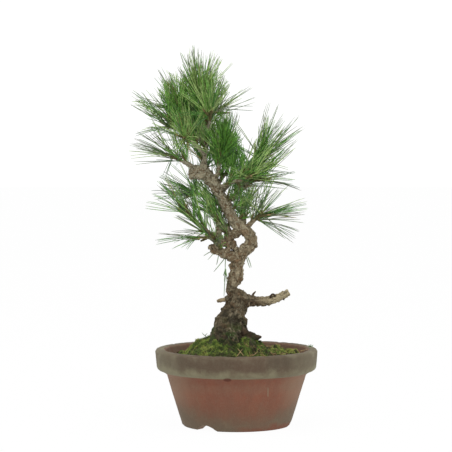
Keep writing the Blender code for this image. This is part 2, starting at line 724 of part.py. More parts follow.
def grow(mass, tip, direction, tip_radius, others):
    """Grow a mass on from its carrier's tip by the seeded rule, clear of all other growth."""
    chance = random.Random(mass.name + str(SEED))
    heading = Vector(mass.heading).normalized()
    start = tip + direction * GAP
    bend = start + direction * BEND_LENGTH
    fork = bend + (direction + 2 * heading).normalized() * mass.stem
    twigs = [[
        Vector((*start, tip_radius * STEM_SHARE)),
        Vector((*bend, tip_radius * STEM_SHARE)),
        Vector((*fork, tip_radius)),
    ]]
    needles = []
    for shoot in range(mass.shoots):
        tilt = 0.0 if shoot == 0 else math.radians(mass.fork + chance.uniform(-FORK_SPREAD, FORK_SPREAD))
        turn = math.radians(mass.turn) + shoot * math.tau / max(mass.shoots - 1, 1)
        way = tilted(heading, tilt, turn)
        end = fork + way * SHOOT_LENGTH * chance.uniform(*SHOOT_LENGTHS)
        twigs.append([
            Vector((*(fork - way * tip_radius * SHOOT_ROOT), tip_radius * SHOOT_ROOT_SHARE)),
            Vector((*fork.lerp(end, SWELL_FROM), SHOOT_SWELL)),
            Vector((*fork.lerp(end, SWELL_TO), SHOOT_SWELL * SWELL_LEFT)),
            Vector((*end, SHOOT_TIP)),
        ])
        for index in range(NEEDLES_ON_SHOOT):
            share = (index + 0.5) / NEEDLES_ON_SHOOT
            root = fork.lerp(end, FIRST_NEEDLE + (LAST_NEEDLE - FIRST_NEEDLE) * share)
            for attempt in range(NEEDLE_TRIES):
                spread = NARROWEST_TILT + (mass.opening - NARROWEST_TILT) * (1 - share) ** TILT_FALL
                spread = math.radians(spread + chance.uniform(-TILT_SPREAD, TILT_SPREAD))
                turn = chance.uniform(-TURN_SPREAD, TURN_SPREAD)
                turn += index * GOLDEN_ANGLE + attempt * TURN_PER_TRY
                length = mass.needle * chance.uniform(SHORTEST_SHARE, 1.0)
                point = root + tilted(way, spread, turn) * length
                needle = Rod(root, point, NEEDLE_ROOT, mass.name)
                if in_crown(point) and is_clear(needle, others):
                    needles.append(needle)
                    break
    return Growth(twigs, needles)


def needle_mesh(name, needle):
    """A three-sided needle from its root to its point."""
    along = needle.end - needle.start
    shape = bmesh.new()
    bmesh.ops.create_cone(
        shape,
        cap_ends=True,
        segments=NEEDLE_SIDES,
        radius1=needle.radius,
        radius2=0.0,
        depth=along.length,
    )
    turn = along.to_track_quat("Z", "Y").to_matrix().to_4x4()
    turn.translation = (needle.start + needle.end) / 2
    bmesh.ops.transform(shape, matrix=turn, verts=shape.verts)
    mesh = bpy.data.meshes.new(name)
    shape.to_mesh(mesh)
    shape.free()
    return mesh


def build_mass(mass, growth, collection, parent):
    """One mass of foliage as one body: its twigs and needles joined by one union."""
    pieces = bpy.data.collections.new(mass.name + "_growth")
    bpy.context.scene.collection.children.link(pieces)
    twigs = [
        tube(f"{mass.name}_twig_{index}", line, TWIG_CORNERS, pieces, parent)
        for index, line in enumerate(growth.twigs)
    ]
    for index, needle in enumerate(growth.needles):
        name = f"{mass.name}_needle_{index}"
        place(name, needle_mesh(name, needle), pieces, parent)
    stem = twigs[0]
    pieces.objects.unlink(stem)
    collection.objects.link(stem)
    stem.name = mass.name
    single = stem.data
    for solver in ("EXACT", "MANIFOLD"):
        stem.data = single
        join = stem.modifiers.new("growth", "BOOLEAN")
        join.operation = "UNION"
        join.operand_type = "COLLECTION"
        join.collection = pieces
        join.solver = solver
        apply_modifiers(stem)
        if is_closed(stem.data):
            break
    for piece in list(pieces.objects):
        bpy.data.objects.remove(piece)
    bpy.data.collections.remove(pieces)
    return stem


def build_foliage(lines, collection, parent):
    """All the masses of foliage, each grown on from its carrier's tip."""
    others = [rod for name, points in lines.items() for rod in rods_of(points, name)]
    masses = []
    for mass in MASSES:
        line = lines[mass.carrier]
        tip = line[-1].to_3d()
        direction = (tip - line[-2].to_3d()).normalized()
        growth = grow(mass, tip, direction, line[-1][3], others)
        for points in growth.twigs:
            others.extend(rods_of(points, mass.name))
        others.extend(growth.needles)
        masses.append(build_mass(mass, growth, collection, parent))
    return masses


def main():
    """Build the pot, the soil and moss, the trunk and limbs, and the foliage."""
    for stray in list(bpy.data.objects):
        bpy.data.objects.remove(stray)
    collection = bpy.data.collections.new("black_pine_bonsai")
    cutters = bpy.data.collections.new("cutters")
    bpy.context.scene.collection.children.link(collection)
    bpy.context.scene.collection.children.link(cutters)
    middle = place("middle_of_plant", None, cutters)
    middle.location = (AXIS_SHIFT, 0.0, 0.0)

    dress(build_pot(collection, cutters, middle), TERRACOTTA)
    dress(build_soil(collection, middle), SOIL)
    trunk = build_trunk(collection, middle)
    dress(trunk, BARK)
    limbs, guides = build_limbs(trunk, collection, cutters, middle)
    for name, limb in limbs.items():
        dress(limb, BARK if name.startswith("bough") else DEAD_WOOD)
    guides["root_spur"] = clearance_of(limbs["root_spur"], cutters, middle)

    mound = build_moss("moss_mound", MOUND_CENTRE, MOUND_RADIUS, MOUND_HEIGHT, collection, middle)
    cut_clear(mound, [guides["trunk"], guides["root_spur"]])
    patch = build_moss("moss_patch", PATCH_CENTRE, PATCH_RADIUS, PATCH_HEIGHT, collection, middle)
    for moss in (mound, patch):
        dress(moss, MOSS)

    lines = {name: smooth_line(line, PLAIN_STEPS) for name, (carrier, line) in LIMBS.items()}
    lines["knob"] = smooth_line(KNOB_LINE, PLAIN_STEPS)
    lines["trunk"] = smooth_line(TRUNK_LINE, PLAIN_STEPS)
    for mass in build_foliage(lines, collection, middle):
        dress(mass, NEEDLES)
    for piece in collection.objects:
        if not piece.name.startswith("foliage"):
            piece.data.shade_smooth()
            piece.data.set_sharp_from_angle(angle=SMOOTH_ANGLE)


main()
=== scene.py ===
"""Looks of a small black pine bonsai in its terracotta training pot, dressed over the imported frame.

Metres, +Z up; the rows that go through metres(), regions() or twigs_on() are in millimetres. Lengths
are measured from the pot's axis at floor level, and each finished mesh is shifted by the pot's place
in the frame.
"""

import logging
import math
import random
from dataclasses import dataclass
from enum import Enum
from typing import NamedTuple

import bpy
import numpy as np
from mathutils import Matrix, Quaternion, Vector, noise


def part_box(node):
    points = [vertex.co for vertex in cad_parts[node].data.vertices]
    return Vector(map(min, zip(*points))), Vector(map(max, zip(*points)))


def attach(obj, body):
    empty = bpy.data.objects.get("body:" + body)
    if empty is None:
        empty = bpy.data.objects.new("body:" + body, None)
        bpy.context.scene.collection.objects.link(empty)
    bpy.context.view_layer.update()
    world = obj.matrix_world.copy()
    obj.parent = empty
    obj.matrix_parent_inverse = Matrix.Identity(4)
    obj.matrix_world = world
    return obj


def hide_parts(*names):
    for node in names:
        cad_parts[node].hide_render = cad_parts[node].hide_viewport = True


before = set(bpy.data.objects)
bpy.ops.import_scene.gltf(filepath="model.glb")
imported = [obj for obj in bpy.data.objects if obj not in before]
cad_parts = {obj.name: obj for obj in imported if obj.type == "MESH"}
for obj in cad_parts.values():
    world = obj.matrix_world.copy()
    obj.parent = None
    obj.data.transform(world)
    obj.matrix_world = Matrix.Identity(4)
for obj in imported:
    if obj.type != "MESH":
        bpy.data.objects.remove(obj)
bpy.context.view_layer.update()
LOG = logging.getLogger("bonsai")
Socket = bpy.types.NodeSocket

POT_LOW, POT_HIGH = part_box("pot")
SHIFT = Vector(((POT_LOW.x + POT_HIGH.x) / 2, 0.0, 0.0))
GAP = 0.0003
SOIL_TOP = 0.0680
GROUND = SOIL_TOP + GAP
GOLDEN_ANGLE = math.radians(137.508)
SEED = 7


def metres(*rows: tuple) -> tuple:
    """Turn rows of millimetres into rows of metres."""
    return tuple(tuple(round(value / 1000, 7) for value in row) for row in rows)


# Limb lines: x, y, z and radius at each station, from root to tip
TRUNK_LINE = (
    (-0.0085, 0.0, GROUND - 0.0060, 0.0240),
    (-0.0085, 0.0, GROUND + 0.0060, 0.0205),
    *metres(
        (-7.5, 1, 96, 16), (-5, 1.8, 106, 13.4), (-1.3, 2, 115.5, 11.1), (1.2, 1.5, 126.2, 10),
        (-3, 1, 134.2, 6.4), (-4.6, 0, 139.5, 5.4), (-2, -1.5, 145.5, 7), (1, -2.5, 157, 5.7),
        (0.8, -3, 164, 6.4), (3.5, -4, 170, 6.4), (9.5, -5.5, 176, 5.8), (15.2, -7, 183.8, 5.8),
        (12.5, -6, 191.5, 5.8), (6.2, -3.5, 195.5, 5.8), (-1.2, -1, 203.5, 5.5), (-7.5, 1, 213, 5.3),
        (-17, 3.5, 231.5, 4.9), (-21.5, 3.5, 240.5, 5.4), (-28, 3, 249, 6), (-33.5, 2.5, 257, 4),
        (-31.5, 2, 269, 2.3), (-30.5, 2, 280, 2.1), (-32, 1, 297, 1.9), (-35.5, 0, 313, 1.7),
    ),
)
KNOB_LINE = metres((-27, 3, 249, 5), (-34, 2, 252.3, 6.7), (-41, 1, 253.3, 6.4), (-46.5, 0.5, 253.5, 5.2))
ROOT_LINES = (
    metres((-17.5, -6, 97, 5.6), (-22.2, -12, 85, 4.6), (-27, -19, 76, 4)),
    metres((-6, -10, 96, 6), (-4, -18, 85, 5.5), (1, -26, 74, 4.2)),
    metres((4, -2, 99, 5.5), (10, -6, 90, 4.8), (18, -13, 77, 4)),
    metres((-18.5, 6, 95.5, 5.4), (-24, 11, 83.5, 4.6), (-29, 17, 74, 4)),
    metres((-6, 12, 96, 6), (-2, 19, 85, 5.2), (4, 27, 74, 4)),
)
BUMP_LINES = (
    metres((4, -5, 108, 3), (8.8, -7, 105, 2.4), (8.5, -7, 100.5, 1.8)),
    metres((-16, -3, 109, 3), (-18.5, -5, 106.5, 2.2)), metres((4, -2, 119.5, 3.6), (10.8, -4, 117.8, 2.6)),
    metres((1, 0, 130, 5.6), (8, -0.8, 126, 6), (12.8, -1.2, 125, 5.7)),
    metres((3, -4, 132, 1.4), (4.2, -5, 134.5, 0.6)),
    metres((-6, 0, 126.2, 4.2), (-11.2, -1.6, 125.5, 3.4)), metres((2, -2, 143, 3), (3.8, -3, 142.5, 2)),
    metres((12.5, -6, 193, 3.4), (16, -7.2, 194.5, 2.6)), metres((15, -7, 180, 4), (18, -8, 183, 2.6)),
    metres((-6, -2, 161, 2.6), (-4, -3.5, 156, 2.2)),
)
# Gnarled wood about the fork, over the boughs' own lines
GNARL_LINES = (
    metres((-2, -3, 173.5, 4.8), (3, -3, 175.2, 4.2)),
    metres((-4.8, -2, 176.5, 4.4), (-3, -1.2, 181.2, 3.2), (-2.2, -1, 185, 2.2)),
    metres((-8, 0, 190.5, 3.6), (-8.8, -1.6, 185, 3.6), (-10.5, -3.2, 178.5, 4)),
    metres((-19, -5.5, 180, 4), (-15, -6, 183.5, 4.6), (-12.5, -4.5, 185, 3.6)),
    metres((-6.5, -1, 191.2, 3.4), (0, -2.8, 193.8, 3.6), (5, -3.5, 195.5, 3.6)),
    metres((-20.5, -4.5, 196.5, 2), (-16, -4, 197, 3), (-11.5, -2, 195.5, 2.8)),
    metres((-18.2, -5, 200, 3), (-16.8, -5.5, 203, 2.2)),
    metres((-24, -6.5, 179, 4.6), (-25.2, -7, 181.2, 3.4)),
    metres((-18.2, -7.5, 173, 3.2), (-20.5, -8, 174.5, 2.4)),
    metres((-9, -6, 174.5, 4), (-11.2, -7, 176.5, 3)),
)
LIMBS = {
    "root_spur": ("trunk", metres(
        (0, -5, 95, 5), (11, -7.5, 92, 3.6), (19.5, -8.5, 89.3, 2.3), (25, -9, 89, 1.2),
    )),
    "dead_branch_right": ("trunk", metres(
        (0, 1.5, 125.5, 6), (13, -1, 125, 5.2), (25.5, -2.5, 124.3, 4.6), (38.5, -2, 126.5, 4.1),
        (52, 0, 133, 3.1),
    )),
    "dead_stub_left": ("trunk", metres(
        (-6, 0.5, 126.2, 2.6), (-14, -1.5, 125.5, 2.1), (-19.5, -2.5, 124, 1.5),
    )),
    "bough_lower_left": ("trunk", metres(
        (1.5, -3, 166.5, 5), (-7, -4.5, 170.5, 4.7), (-15, -5.5, 173.8, 4.6), (-24.5, -6, 178.5, 4.4),
    )),
    "bough_left_riser": ("bough_lower_left", metres(
        (-20.5, -5, 177, 4.2), (-17.2, -4, 184.5, 4.4), (-18.2, -3.5, 191.5, 3.4), (-17, -3.2, 195.5, 3),
        (-18, -3.5, 200, 2.4),
    )),
    "bough_inner_left": ("trunk", metres(
        (4, -3, 194.5, 3.6), (-3, -1, 190.5, 3.6), (-8, 0, 190.5, 3.7), (-9.2, 3, 196.5, 3.2),
        (-13, 9, 201, 2.1),
    )),
    "bough_left_shoot": ("bough_left_riser", metres(
        (-18.5, -3.5, 188, 2.8), (-29, -6.5, 194.5, 2.1), (-40, -9, 203, 1.6),
    )),
    "bough_low_left": ("bough_left_riser", metres(
        (-19.5, -3, 183.5, 2.6), (-24, -9, 187, 1.9), (-28.5, -13, 188.5, 1.5),
    )),
    "bough_lower_right": ("trunk", metres(
        (6, -3.5, 195.5, 2.7), (14, -6, 202, 2.1), (19, -7.5, 207.5, 1.8),
    )),
    "bough_right": ("trunk", metres(
        (-12, 3, 223, 3.6), (-2, 9.5, 229, 2.9), (7, 12, 239, 2.3), (15, 11, 255, 1.8),
    )),
    "bough_right_mid": ("bough_right", metres(
        (-0.5, 10, 230.5, 2.4), (8, 6, 237.5, 1.9), (13.5, 2, 243, 1.5),
    )),
    "bough_centre": ("trunk", metres(
        (-22.5, 3.5, 243, 2.8), (-18.5, -1, 253, 2.1), (-17.5, -3, 261, 1.8), (-15, -4, 267.5, 1.6),
    )),
    "bough_front_right": ("trunk", metres((-19.5, 3.5, 236, 2.6), (-6, -5, 242.5, 2), (6, -15, 247, 1.6))),
    "bough_upper_left": ("trunk", metres((-41, 1, 256, 2.6), (-49, -1, 261.5, 1.9), (-56, -3, 265, 1.5))),
    "bough_front_left": ("trunk", metres((-31.2, 2, 271.5, 2), (-39, -9, 279, 1.8), (-46, -20, 285, 1.5))),
    "bough_top_left": ("trunk", metres((-30.6, 2, 283, 2), (-42, -2, 289, 1.7), (-54, -5, 293.5, 1.4))),
    "bough_top_left_upper": ("trunk", metres(
        (-32, 1, 295.5, 1.8), (-42, 5, 301, 1.5), (-49, 7, 306.5, 1.3),
    )),
    "bough_top_right": ("trunk", metres(
        (-32.5, 1, 301, 1.7), (-29.5, 2, 305.5, 1.4), (-26.5, 3, 309.5, 1.3),
    )),
    "bough_front_top": ("trunk", metres(
        (-31.2, 1.5, 291.5, 1.8), (-28, -10, 299, 1.5), (-26.5, -19, 305, 1.3),
    )),
    "bough_back_top": ("trunk", metres((-30.6, 2, 276.5, 2.1), (-34, 14, 283, 1.8), (-37, 26, 289, 1.5))),
    "bough_back_right": ("trunk", metres((-17, 3.5, 231.5, 3), (-10, 16, 239, 2.3), (-1, 28, 245, 1.7))),
    "bough_back_left": ("trunk", metres((-8.5, 1.5, 216.5, 3), (-21, 14, 223, 2.2), (-33, 25, 229, 1.7))),
    "bough_back_low": ("trunk", metres((6, -3, 201, 3), (7, 12, 207, 2.2), (8.5, 25, 216, 1.7))),
    "bough_back_mid": ("trunk", metres(
        (-21.5, 3.5, 240.5, 2.8), (-16, 13, 245.5, 2.1), (-11.5, 21.5, 251, 1.6),
    )),
}


class Mass(NamedTuple):
    """One mass of foliage: a stem that forks into shoots, each clothed with needles."""

    name: str
    carrier: str
    heading: tuple
    stem: float
    shoots: int
    fork: float
    turn: float
    needle: float
    opening: float


MASSES = tuple(Mass("foliage_" + name, *rest) for name, *rest in (
    ("apex", "trunk", (0.03, 0.0, 1.0), 0.0085, 3, 26, 0, 0.053, 48),
    ("mid_left", "bough_upper_left", (-0.92, -0.1, 0.42), 0.002, 1, 30, 0, 0.049, 42),
    ("right_upper", "bough_right", (0.52, -0.08, 0.85), 0.009, 3, 34, 0, 0.05, 52),
    ("lower_right", "bough_lower_right", (1.0, -0.1, 0.16), 0.002, 2, 32, 90, 0.05, 52),
    ("lower_left", "bough_left_shoot", (-0.78, -0.15, 0.66), 0.006, 2, 26, 180, 0.048, 54),
    ("low_left", "bough_low_left", (-1.0, -0.1, -0.04), 0.002, 1, 30, 0, 0.043, 38),
    ("top_left", "bough_top_left", (-0.88, -0.15, 0.42), 0.006, 2, 30, 180, 0.048, 52),
    ("top_left_upper", "bough_top_left_upper", (-0.55, 0.1, 0.85), 0.004, 2, 30, 30, 0.045, 52),
    ("top_right", "bough_top_right", (0.85, 0.05, 0.5), 0.003, 2, 28, 200, 0.044, 46),
    ("centre", "bough_centre", (0.22, -0.1, 1.0), 0.002, 2, 20, 180, 0.038, 34),
    ("right_mid", "bough_right_mid", (1.0, -0.05, 0.08), 0.004, 2, 28, 90, 0.05, 50),
    ("left_inner", "bough_left_riser", (-0.38, -0.2, 0.9), 0.006, 1, 30, 0, 0.04, 52),
    ("inner_back", "bough_inner_left", (-0.45, 0.75, 0.45), 0.005, 1, 30, 0, 0.044, 56),
    ("front_right", "bough_front_right", (0.75, -0.65, 0.3), 0.005, 2, 34, 90, 0.046, 56),
    ("front_left", "bough_front_left", (-0.65, -0.75, 0.25), 0.005, 2, 34, 90, 0.045, 52),
    ("front_top", "bough_front_top", (0.1, -0.85, 0.55), 0.004, 2, 34, 90, 0.045, 54),
    ("back_top", "bough_back_top", (-0.1, 0.9, 0.5), 0.006, 3, 38, 90, 0.045, 58),
    ("back_right", "bough_back_right", (0.55, 0.8, 0.25), 0.006, 3, 38, 30, 0.045, 58),
    ("back_left", "bough_back_left", (-0.75, 0.6, 0.2), 0.006, 3, 38, 30, 0.043, 56),
    ("back_low", "bough_back_low", (0.2, 0.9, 0.35), 0.006, 2, 36, 0, 0.044, 56),
    ("back_mid", "bough_back_mid", (0.25, 0.6, 0.75), 0.005, 2, 34, 60, 0.042, 56),
))


class Slot(Enum):
    """Material slot names."""

    CLAY = "terracotta"
    SOIL = "soil"
    MOSS = "moss"
    BARK = "bark"
    DEAD = "dead_wood"
    NEEDLES = "needles"


def linear(shade: tuple) -> tuple:
    """Turn an 8-bit screen colour into the linear colour that shaders mix.

    Args:
        shade: red, green and blue from 0 to 255.

    Returns:
        Linear red, green, blue and a full alpha.
    """
    channels = [value / 255 for value in shade]
    return (*[c / 12.92 if c < 0.04045 else ((c + 0.055) / 1.055) ** 2.4 for c in channels], 1.0)


class Graph:
    """The nodes of one material or group, with short calls that add and join them."""

    def __init__(self, tree: bpy.types.NodeTree) -> None:
        """Keep the tree that the nodes go into."""
        self.tree = tree

    def add(self, kind: str, inputs: dict | None = None, **settings: object) -> bpy.types.Node:
        """Add a node.

        Args:
            kind: the node's Blender type.
            inputs: sockets to join, or values to set, by socket name or number.
            **settings: the node's own settings.

        Returns:
            The new node.
        """
        node = self.tree.nodes.new(kind)
        for key, value in settings.items():
            setattr(node, key, value)
        for key, value in (inputs or {}).items():
            if isinstance(value, Socket):
                self.tree.links.new(value, node.inputs[key])
            else:
                node.inputs[key].default_value = value
        return node

    def mix(self, mask: object, first: object, second: object) -> Socket:
        """Mix two colours, sockets or 8-bit shades, by a mask, and give the mixed colour."""
        one, two = (c if isinstance(c, Socket) else linear(c) for c in (first, second))
        return self.add("ShaderNodeMix", {0: mask, 6: one, 7: two}, data_type="RGBA").outputs[2]

    def ramp(self, value: object, low: float, high: float, to_low: float = 0.0,
             to_high: float = 1.0) -> Socket:
        """Map a value smoothly from one range to another, and give the result."""
        inputs = {"Value": value, "From Min": low, "From Max": high, "To Min": to_low, "To Max": to_high}
        return self.add("ShaderNodeMapRange", inputs, interpolation_type="SMOOTHSTEP").outputs[0]

    def math(self, operation: str, first: object, second: object = 0.0) -> Socket:
        """Join two values by an operation, and give the result."""
        return self.add("ShaderNodeMath", {0: first, 1: second}, operation=operation).outputs[0]

    def times(self, first: object, second: object) -> Socket:
        """Multiply two values."""
        return self.math("MULTIPLY", first, second)

    def vector(self, operation: str, first: object, second: tuple = (0.0, 0.0, 0.0)) -> bpy.types.Node:
        """Add a node that joins two vectors by an operation."""
        return self.add("ShaderNodeVectorMath", {0: first, 1: second}, operation=operation)

    def axes(self, place: object) -> list:
        """Split a place into its x, y and z."""
        return list(self.add("ShaderNodeSeparateXYZ", {0: place}).outputs)

    def group(self, tree: bpy.types.NodeTree, inputs: dict) -> Socket:
        """Place a shared effect with these inputs, and give its first output."""
        return self.add("ShaderNodeGroup", inputs, node_tree=tree).outputs[0]


def patches_group() -> bpy.types.NodeTree:
    """Build the shared effect that puts uneven patches on a surface.

    Returns:
        A group with inputs Vector, Stretch, Scale, Detail, From and To, and output Mask.
    """
    tree = bpy.data.node_groups.new("patches", "ShaderNodeTree")
    for name in ("Vector", "Stretch", "Scale", "Detail", "From", "To"):
        kind = "NodeSocketVector" if name in ("Vector", "Stretch") else "NodeSocketFloat"
        tree.interface.new_socket(name=name, in_out="INPUT", socket_type=kind)
    tree.interface.new_socket(name="Mask", in_out="OUTPUT", socket_type="NodeSocketFloat")
    graph = Graph(tree)
    given = graph.add("NodeGroupInput").outputs
    stretched = graph.vector("MULTIPLY", given["Vector"], given["Stretch"])
    grain = graph.add("ShaderNodeTexNoise", {
        "Vector": stretched.outputs[0], "Scale": given["Scale"], "Detail": given["Detail"], "Roughness": 0.62,
    })
    graph.add("NodeGroupOutput", {"Mask": graph.ramp(grain.outputs[0], given["From"], given["To"])})
    return tree


PATCHES = patches_group()


@dataclass(frozen=True)
class Surface:
    """What every finish shares: a roughness range, and bumps from fine grain."""

    name: str
    rough_low: float
    rough_high: float
    bump: float
    bump_scale: float
    bump_height: float

    def start(self) -> tuple:
        """Begin a material.

        Returns:
            The material, its graph, its Principled shader and the place on the object.
        """
        material = bpy.data.materials.new(self.name)
        material.use_nodes = True
        graph = Graph(material.node_tree)
        shader = material.node_tree.nodes["Principled BSDF"]
        shader.inputs["Specular IOR Level"].default_value = 0.25
        place = graph.add("ShaderNodeTexCoord").outputs["Object"]
        return material, graph, shader, place

    def patches(self, graph: Graph, place: object, scale: float, low: float, high: float,
                detail: float = 4.0, stretch: tuple = (1.0, 1.0, 1.0)) -> Socket:
        """Give a mask of uneven patches."""
        return graph.group(PATCHES, {
            "Vector": place, "Stretch": stretch, "Scale": scale, "Detail": detail, "From": low, "To": high,
        })

    def close(self, graph: Graph, shader: bpy.types.Node, place: object, colour: object) -> None:
        """Join colour, roughness and bump to the shader.

        Args:
            graph: the material's graph.
            shader: its Principled shader.
            place: the place on the object.
            colour: the finished colour socket.
        """
        fine = self.patches(graph, place, self.bump_scale, 0.25, 0.75, 6.0)
        rough = graph.ramp(fine, 0.0, 1.0, self.rough_low, self.rough_high)
        bump = graph.add("ShaderNodeBump", {
            "Strength": self.bump, "Distance": self.bump_height, "Height": fine,
        }).outputs[0]
        for name, socket in (("Base Color", colour), ("Roughness", rough), ("Normal", bump)):
            graph.tree.links.new(socket, shader.inputs[name])


@dataclass(frozen=True)
class OldClay(Surface):
    """Weathered terracotta: a stained band, algae low down, and red clay where the wall is clean."""

    body: tuple = (115, 74, 58)
    body_dark: tuple = (107, 70, 55)
    body_warm: tuple = (120, 74, 56)
    # Painted shade for the lower wall, against the light that the glowing floor throws up onto it
    body_low: tuple = (94, 70, 54)
    algae: tuple = (106, 96, 76)
    film: tuple = (90, 82, 67)
    flank: tuple = (128, 104, 84)
    band: tuple = (82, 71, 57)
    band_dark: tuple = (72, 62, 49)
    band_red: tuple = (88, 68, 54)
    band_foot: tuple = (122, 117, 93)
    lime: tuple = (124, 120, 98)
    inner: tuple = (114, 94, 76)
    clean: tuple = (106, 66, 50)
    dent: tuple = (84, 46, 34)
    height: float = 0.0767
    band_low: float = 0.0553
    wander: float = 0.004
    inner_low: float = 0.0515
    inner_high: float = 0.0685
    lip_step: float = 0.0036
    scratch_x: float = 0.0304
    scratch_z: float = 0.0400
    dent_x: float = -0.0092
    dent_z: float = 0.0537
    dent_half_x: float = 0.0042
    dent_half_z: float = 0.0022

    def material(self) -> bpy.types.Material:
        """Build the material."""
        material, graph, shader, place = self.start()
        spot = graph.vector("ADD", place, tuple(-SHIFT)).outputs[0]
        axes = graph.axes(spot)
        side = graph.math("ABSOLUTE", axes[0])
        wander = self.patches(graph, spot, 45.0, 0.2, 0.8, 5.0)
        height = graph.math("ADD", axes[2], graph.ramp(wander, 0.0, 1.0, -self.wander, self.wander))
        streaks = self.patches(graph, spot, 150.0, 0.36, 0.66, 3.0, (1.0, 1.0, 0.12))
        broad = self.patches(graph, spot, 22.0, 0.38, 0.66, 3.0)
        speckle = self.patches(graph, spot, 420.0, 0.42, 0.72, 2.0)
        colour = graph.mix(broad, self.body, self.body_warm)
        colour = graph.mix(graph.times(streaks, 0.5), colour, self.body_dark)
        colour = self.weathered(graph, spot, axes, height, colour)
        band = graph.mix(graph.times(streaks, 0.45), self.band, self.band_dark)
        band = self.limed(graph, spot, side, height, graph.mix(graph.times(broad, 0.4), band, self.band_red))
        colour = graph.mix(graph.ramp(axes[2], self.band_low - 0.0016, self.band_low - 0.0004), colour, band)
        hollow = graph.mix(graph.times(streaks, 0.5), self.inner, self.body_dark)
        colour = graph.mix(self.within(graph, spot, axes), colour, hollow)
        colour = graph.mix(graph.times(speckle, 0.07), colour, self.lime)
        colour = graph.mix(self.scratch(graph, axes), colour, self.lime)
        colour = graph.mix(self.dimple(graph, axes), colour, self.dent)
        self.close(graph, shader, spot, colour)
        return material

    def weathered(self, graph: Graph, spot: object, axes: list, height: object,
                  colour: object) -> Socket:
        """Put smears, pale flanks, painted shade and the film low down, and the clean foot over the wall's
        colour.

        Args:
            graph: the material's graph.
            spot: the place, measured from the pot's axis.
            axes: its x, y and z.
            height: the height with some wander in it.
            colour: the colour so far.

        Returns:
            The colour of the wall below the band.
        """
        side = graph.math("ABSOLUTE", axes[0])
        smear = self.patches(graph, spot, 34.0, 0.52, 0.74, 5.0)
        colour = graph.mix(graph.times(smear, 0.18), colour, self.algae)
        colour = graph.mix(graph.times(graph.ramp(side, 0.036, 0.066), 0.85), colour, self.flank)
        # Painted shade: darker towards the bottom, against the light that the glowing floor throws up
        colour = graph.mix(graph.ramp(axes[2], 0.008, 0.042, 0.55, 0.0), colour, self.body_low)
        sunk = graph.math("SUBTRACT", height, graph.ramp(side, 0.020, 0.060, -0.002, 0.006))
        film = graph.times(graph.ramp(sunk, 0.002, 0.026, 1.0, 0.0), graph.ramp(smear, 0.0, 1.0, 0.75, 0.95))
        stain = self.patches(graph, spot, 75.0, 0.42, 0.68, 6.0)
        colour = graph.mix(film, colour, graph.mix(graph.times(stain, 0.5), self.film, self.algae))
        foot = graph.times(graph.ramp(height, 0.0010, 0.0090, 0.9, 0.0), graph.ramp(axes[0], -0.006, 0.012))
        return graph.mix(foot, colour, self.clean)

    def limed(self, graph: Graph, spot: object, side: object, height: object,
              band: object) -> Socket:
        """Put lime on the band's lower edge, on the rim and on both flanks.

        Args:
            graph: the material's graph.
            spot: the place, measured from the pot's axis.
            side: the distance to either side of the middle.
            height: the height with some wander in it.
            band: the band's colour so far.

        Returns:
            The band's colour.
        """
        edge = graph.ramp(height, self.band_low - 0.0030, self.band_low + 0.0110, 0.95, 0.0)
        band = graph.mix(edge, band, self.band_foot)
        crust = self.patches(graph, spot, 60.0, 0.44, 0.66, 6.0)
        rim = graph.ramp(height, self.height - 0.0060, self.height)
        band = graph.mix(graph.times(graph.times(crust, rim), 0.25), band, self.lime)
        far = graph.times(graph.ramp(side, 0.044, 0.080), 0.75)
        return graph.mix(graph.times(graph.ramp(crust, 0.0, 1.0, 0.5, 0.9), far), band, self.lime)

    def within(self, graph: Graph, spot: object, axes: list) -> Socket:
        """Give the mask of the pot's inner wall.

        Args:
            graph: the material's graph.
            spot: the place, measured from the pot's axis.
            axes: its x, y and z.

        Returns:
            The mask.
        """
        flat = graph.vector("MULTIPLY", spot, (1.0, 1.0, 0.0)).outputs[0]
        radius = graph.vector("LENGTH", flat).outputs["Value"]
        wall = graph.ramp(axes[2], 0.0, self.band_low, self.inner_low, self.inner_high)
        lip = graph.ramp(axes[2], self.band_low, self.band_low + 0.002, 0.0, self.lip_step)
        return graph.ramp(graph.math("SUBTRACT", radius, graph.math("ADD", wall, lip)), 0.0, 0.0015, 1.0, 0.0)

    def scratch(self, graph: Graph, axes: list) -> Socket:
        """Give the mask of the short pale scratch that runs down the front of the wall."""
        across = graph.math("ABSOLUTE", graph.math("SUBTRACT", axes[0], self.scratch_x))
        along = graph.math("ABSOLUTE", graph.math("SUBTRACT", axes[2], self.scratch_z))
        thin = graph.ramp(across, 0.0003, 0.0008, 1.0, 0.0)
        line = graph.times(thin, graph.ramp(along, 0.003, 0.006, 1.0, 0.0))
        return graph.times(line, graph.ramp(axes[1], -0.040, -0.030, 0.45, 0.0))

    def dimple(self, graph: Graph, axes: list) -> Socket:
        """Give the mask of the dark thumb mark just under the band."""
        across = graph.math("DIVIDE", graph.math("SUBTRACT", axes[0], self.dent_x), self.dent_half_x)
        along = graph.math("DIVIDE", graph.math("SUBTRACT", axes[2], self.dent_z), self.dent_half_z)
        away = graph.math("ADD", graph.times(across, across), graph.times(along, along))
        front = graph.ramp(axes[1], -0.040, -0.030, 0.85, 0.0)
        return graph.times(graph.ramp(away, 0.5, 1.2, 1.0, 0.0), front)


@dataclass(frozen=True)
class Mottled(Surface):
    """A finish of three shades in patches, for soil, crumbs, moss and twigs."""

    base: tuple
    second: tuple
    third: tuple
    patch: float

    def material(self) -> bpy.types.Material:
        """Build the material."""
        material, graph, shader, place = self.start()
        colour = graph.mix(self.patches(graph, place, self.patch, 0.38, 0.62), self.base, self.second)
        colour = graph.mix(self.patches(graph, place, self.patch * 2.3, 0.52, 0.72), colour, self.third)
        self.close(graph, shader, place, colour)
        return material


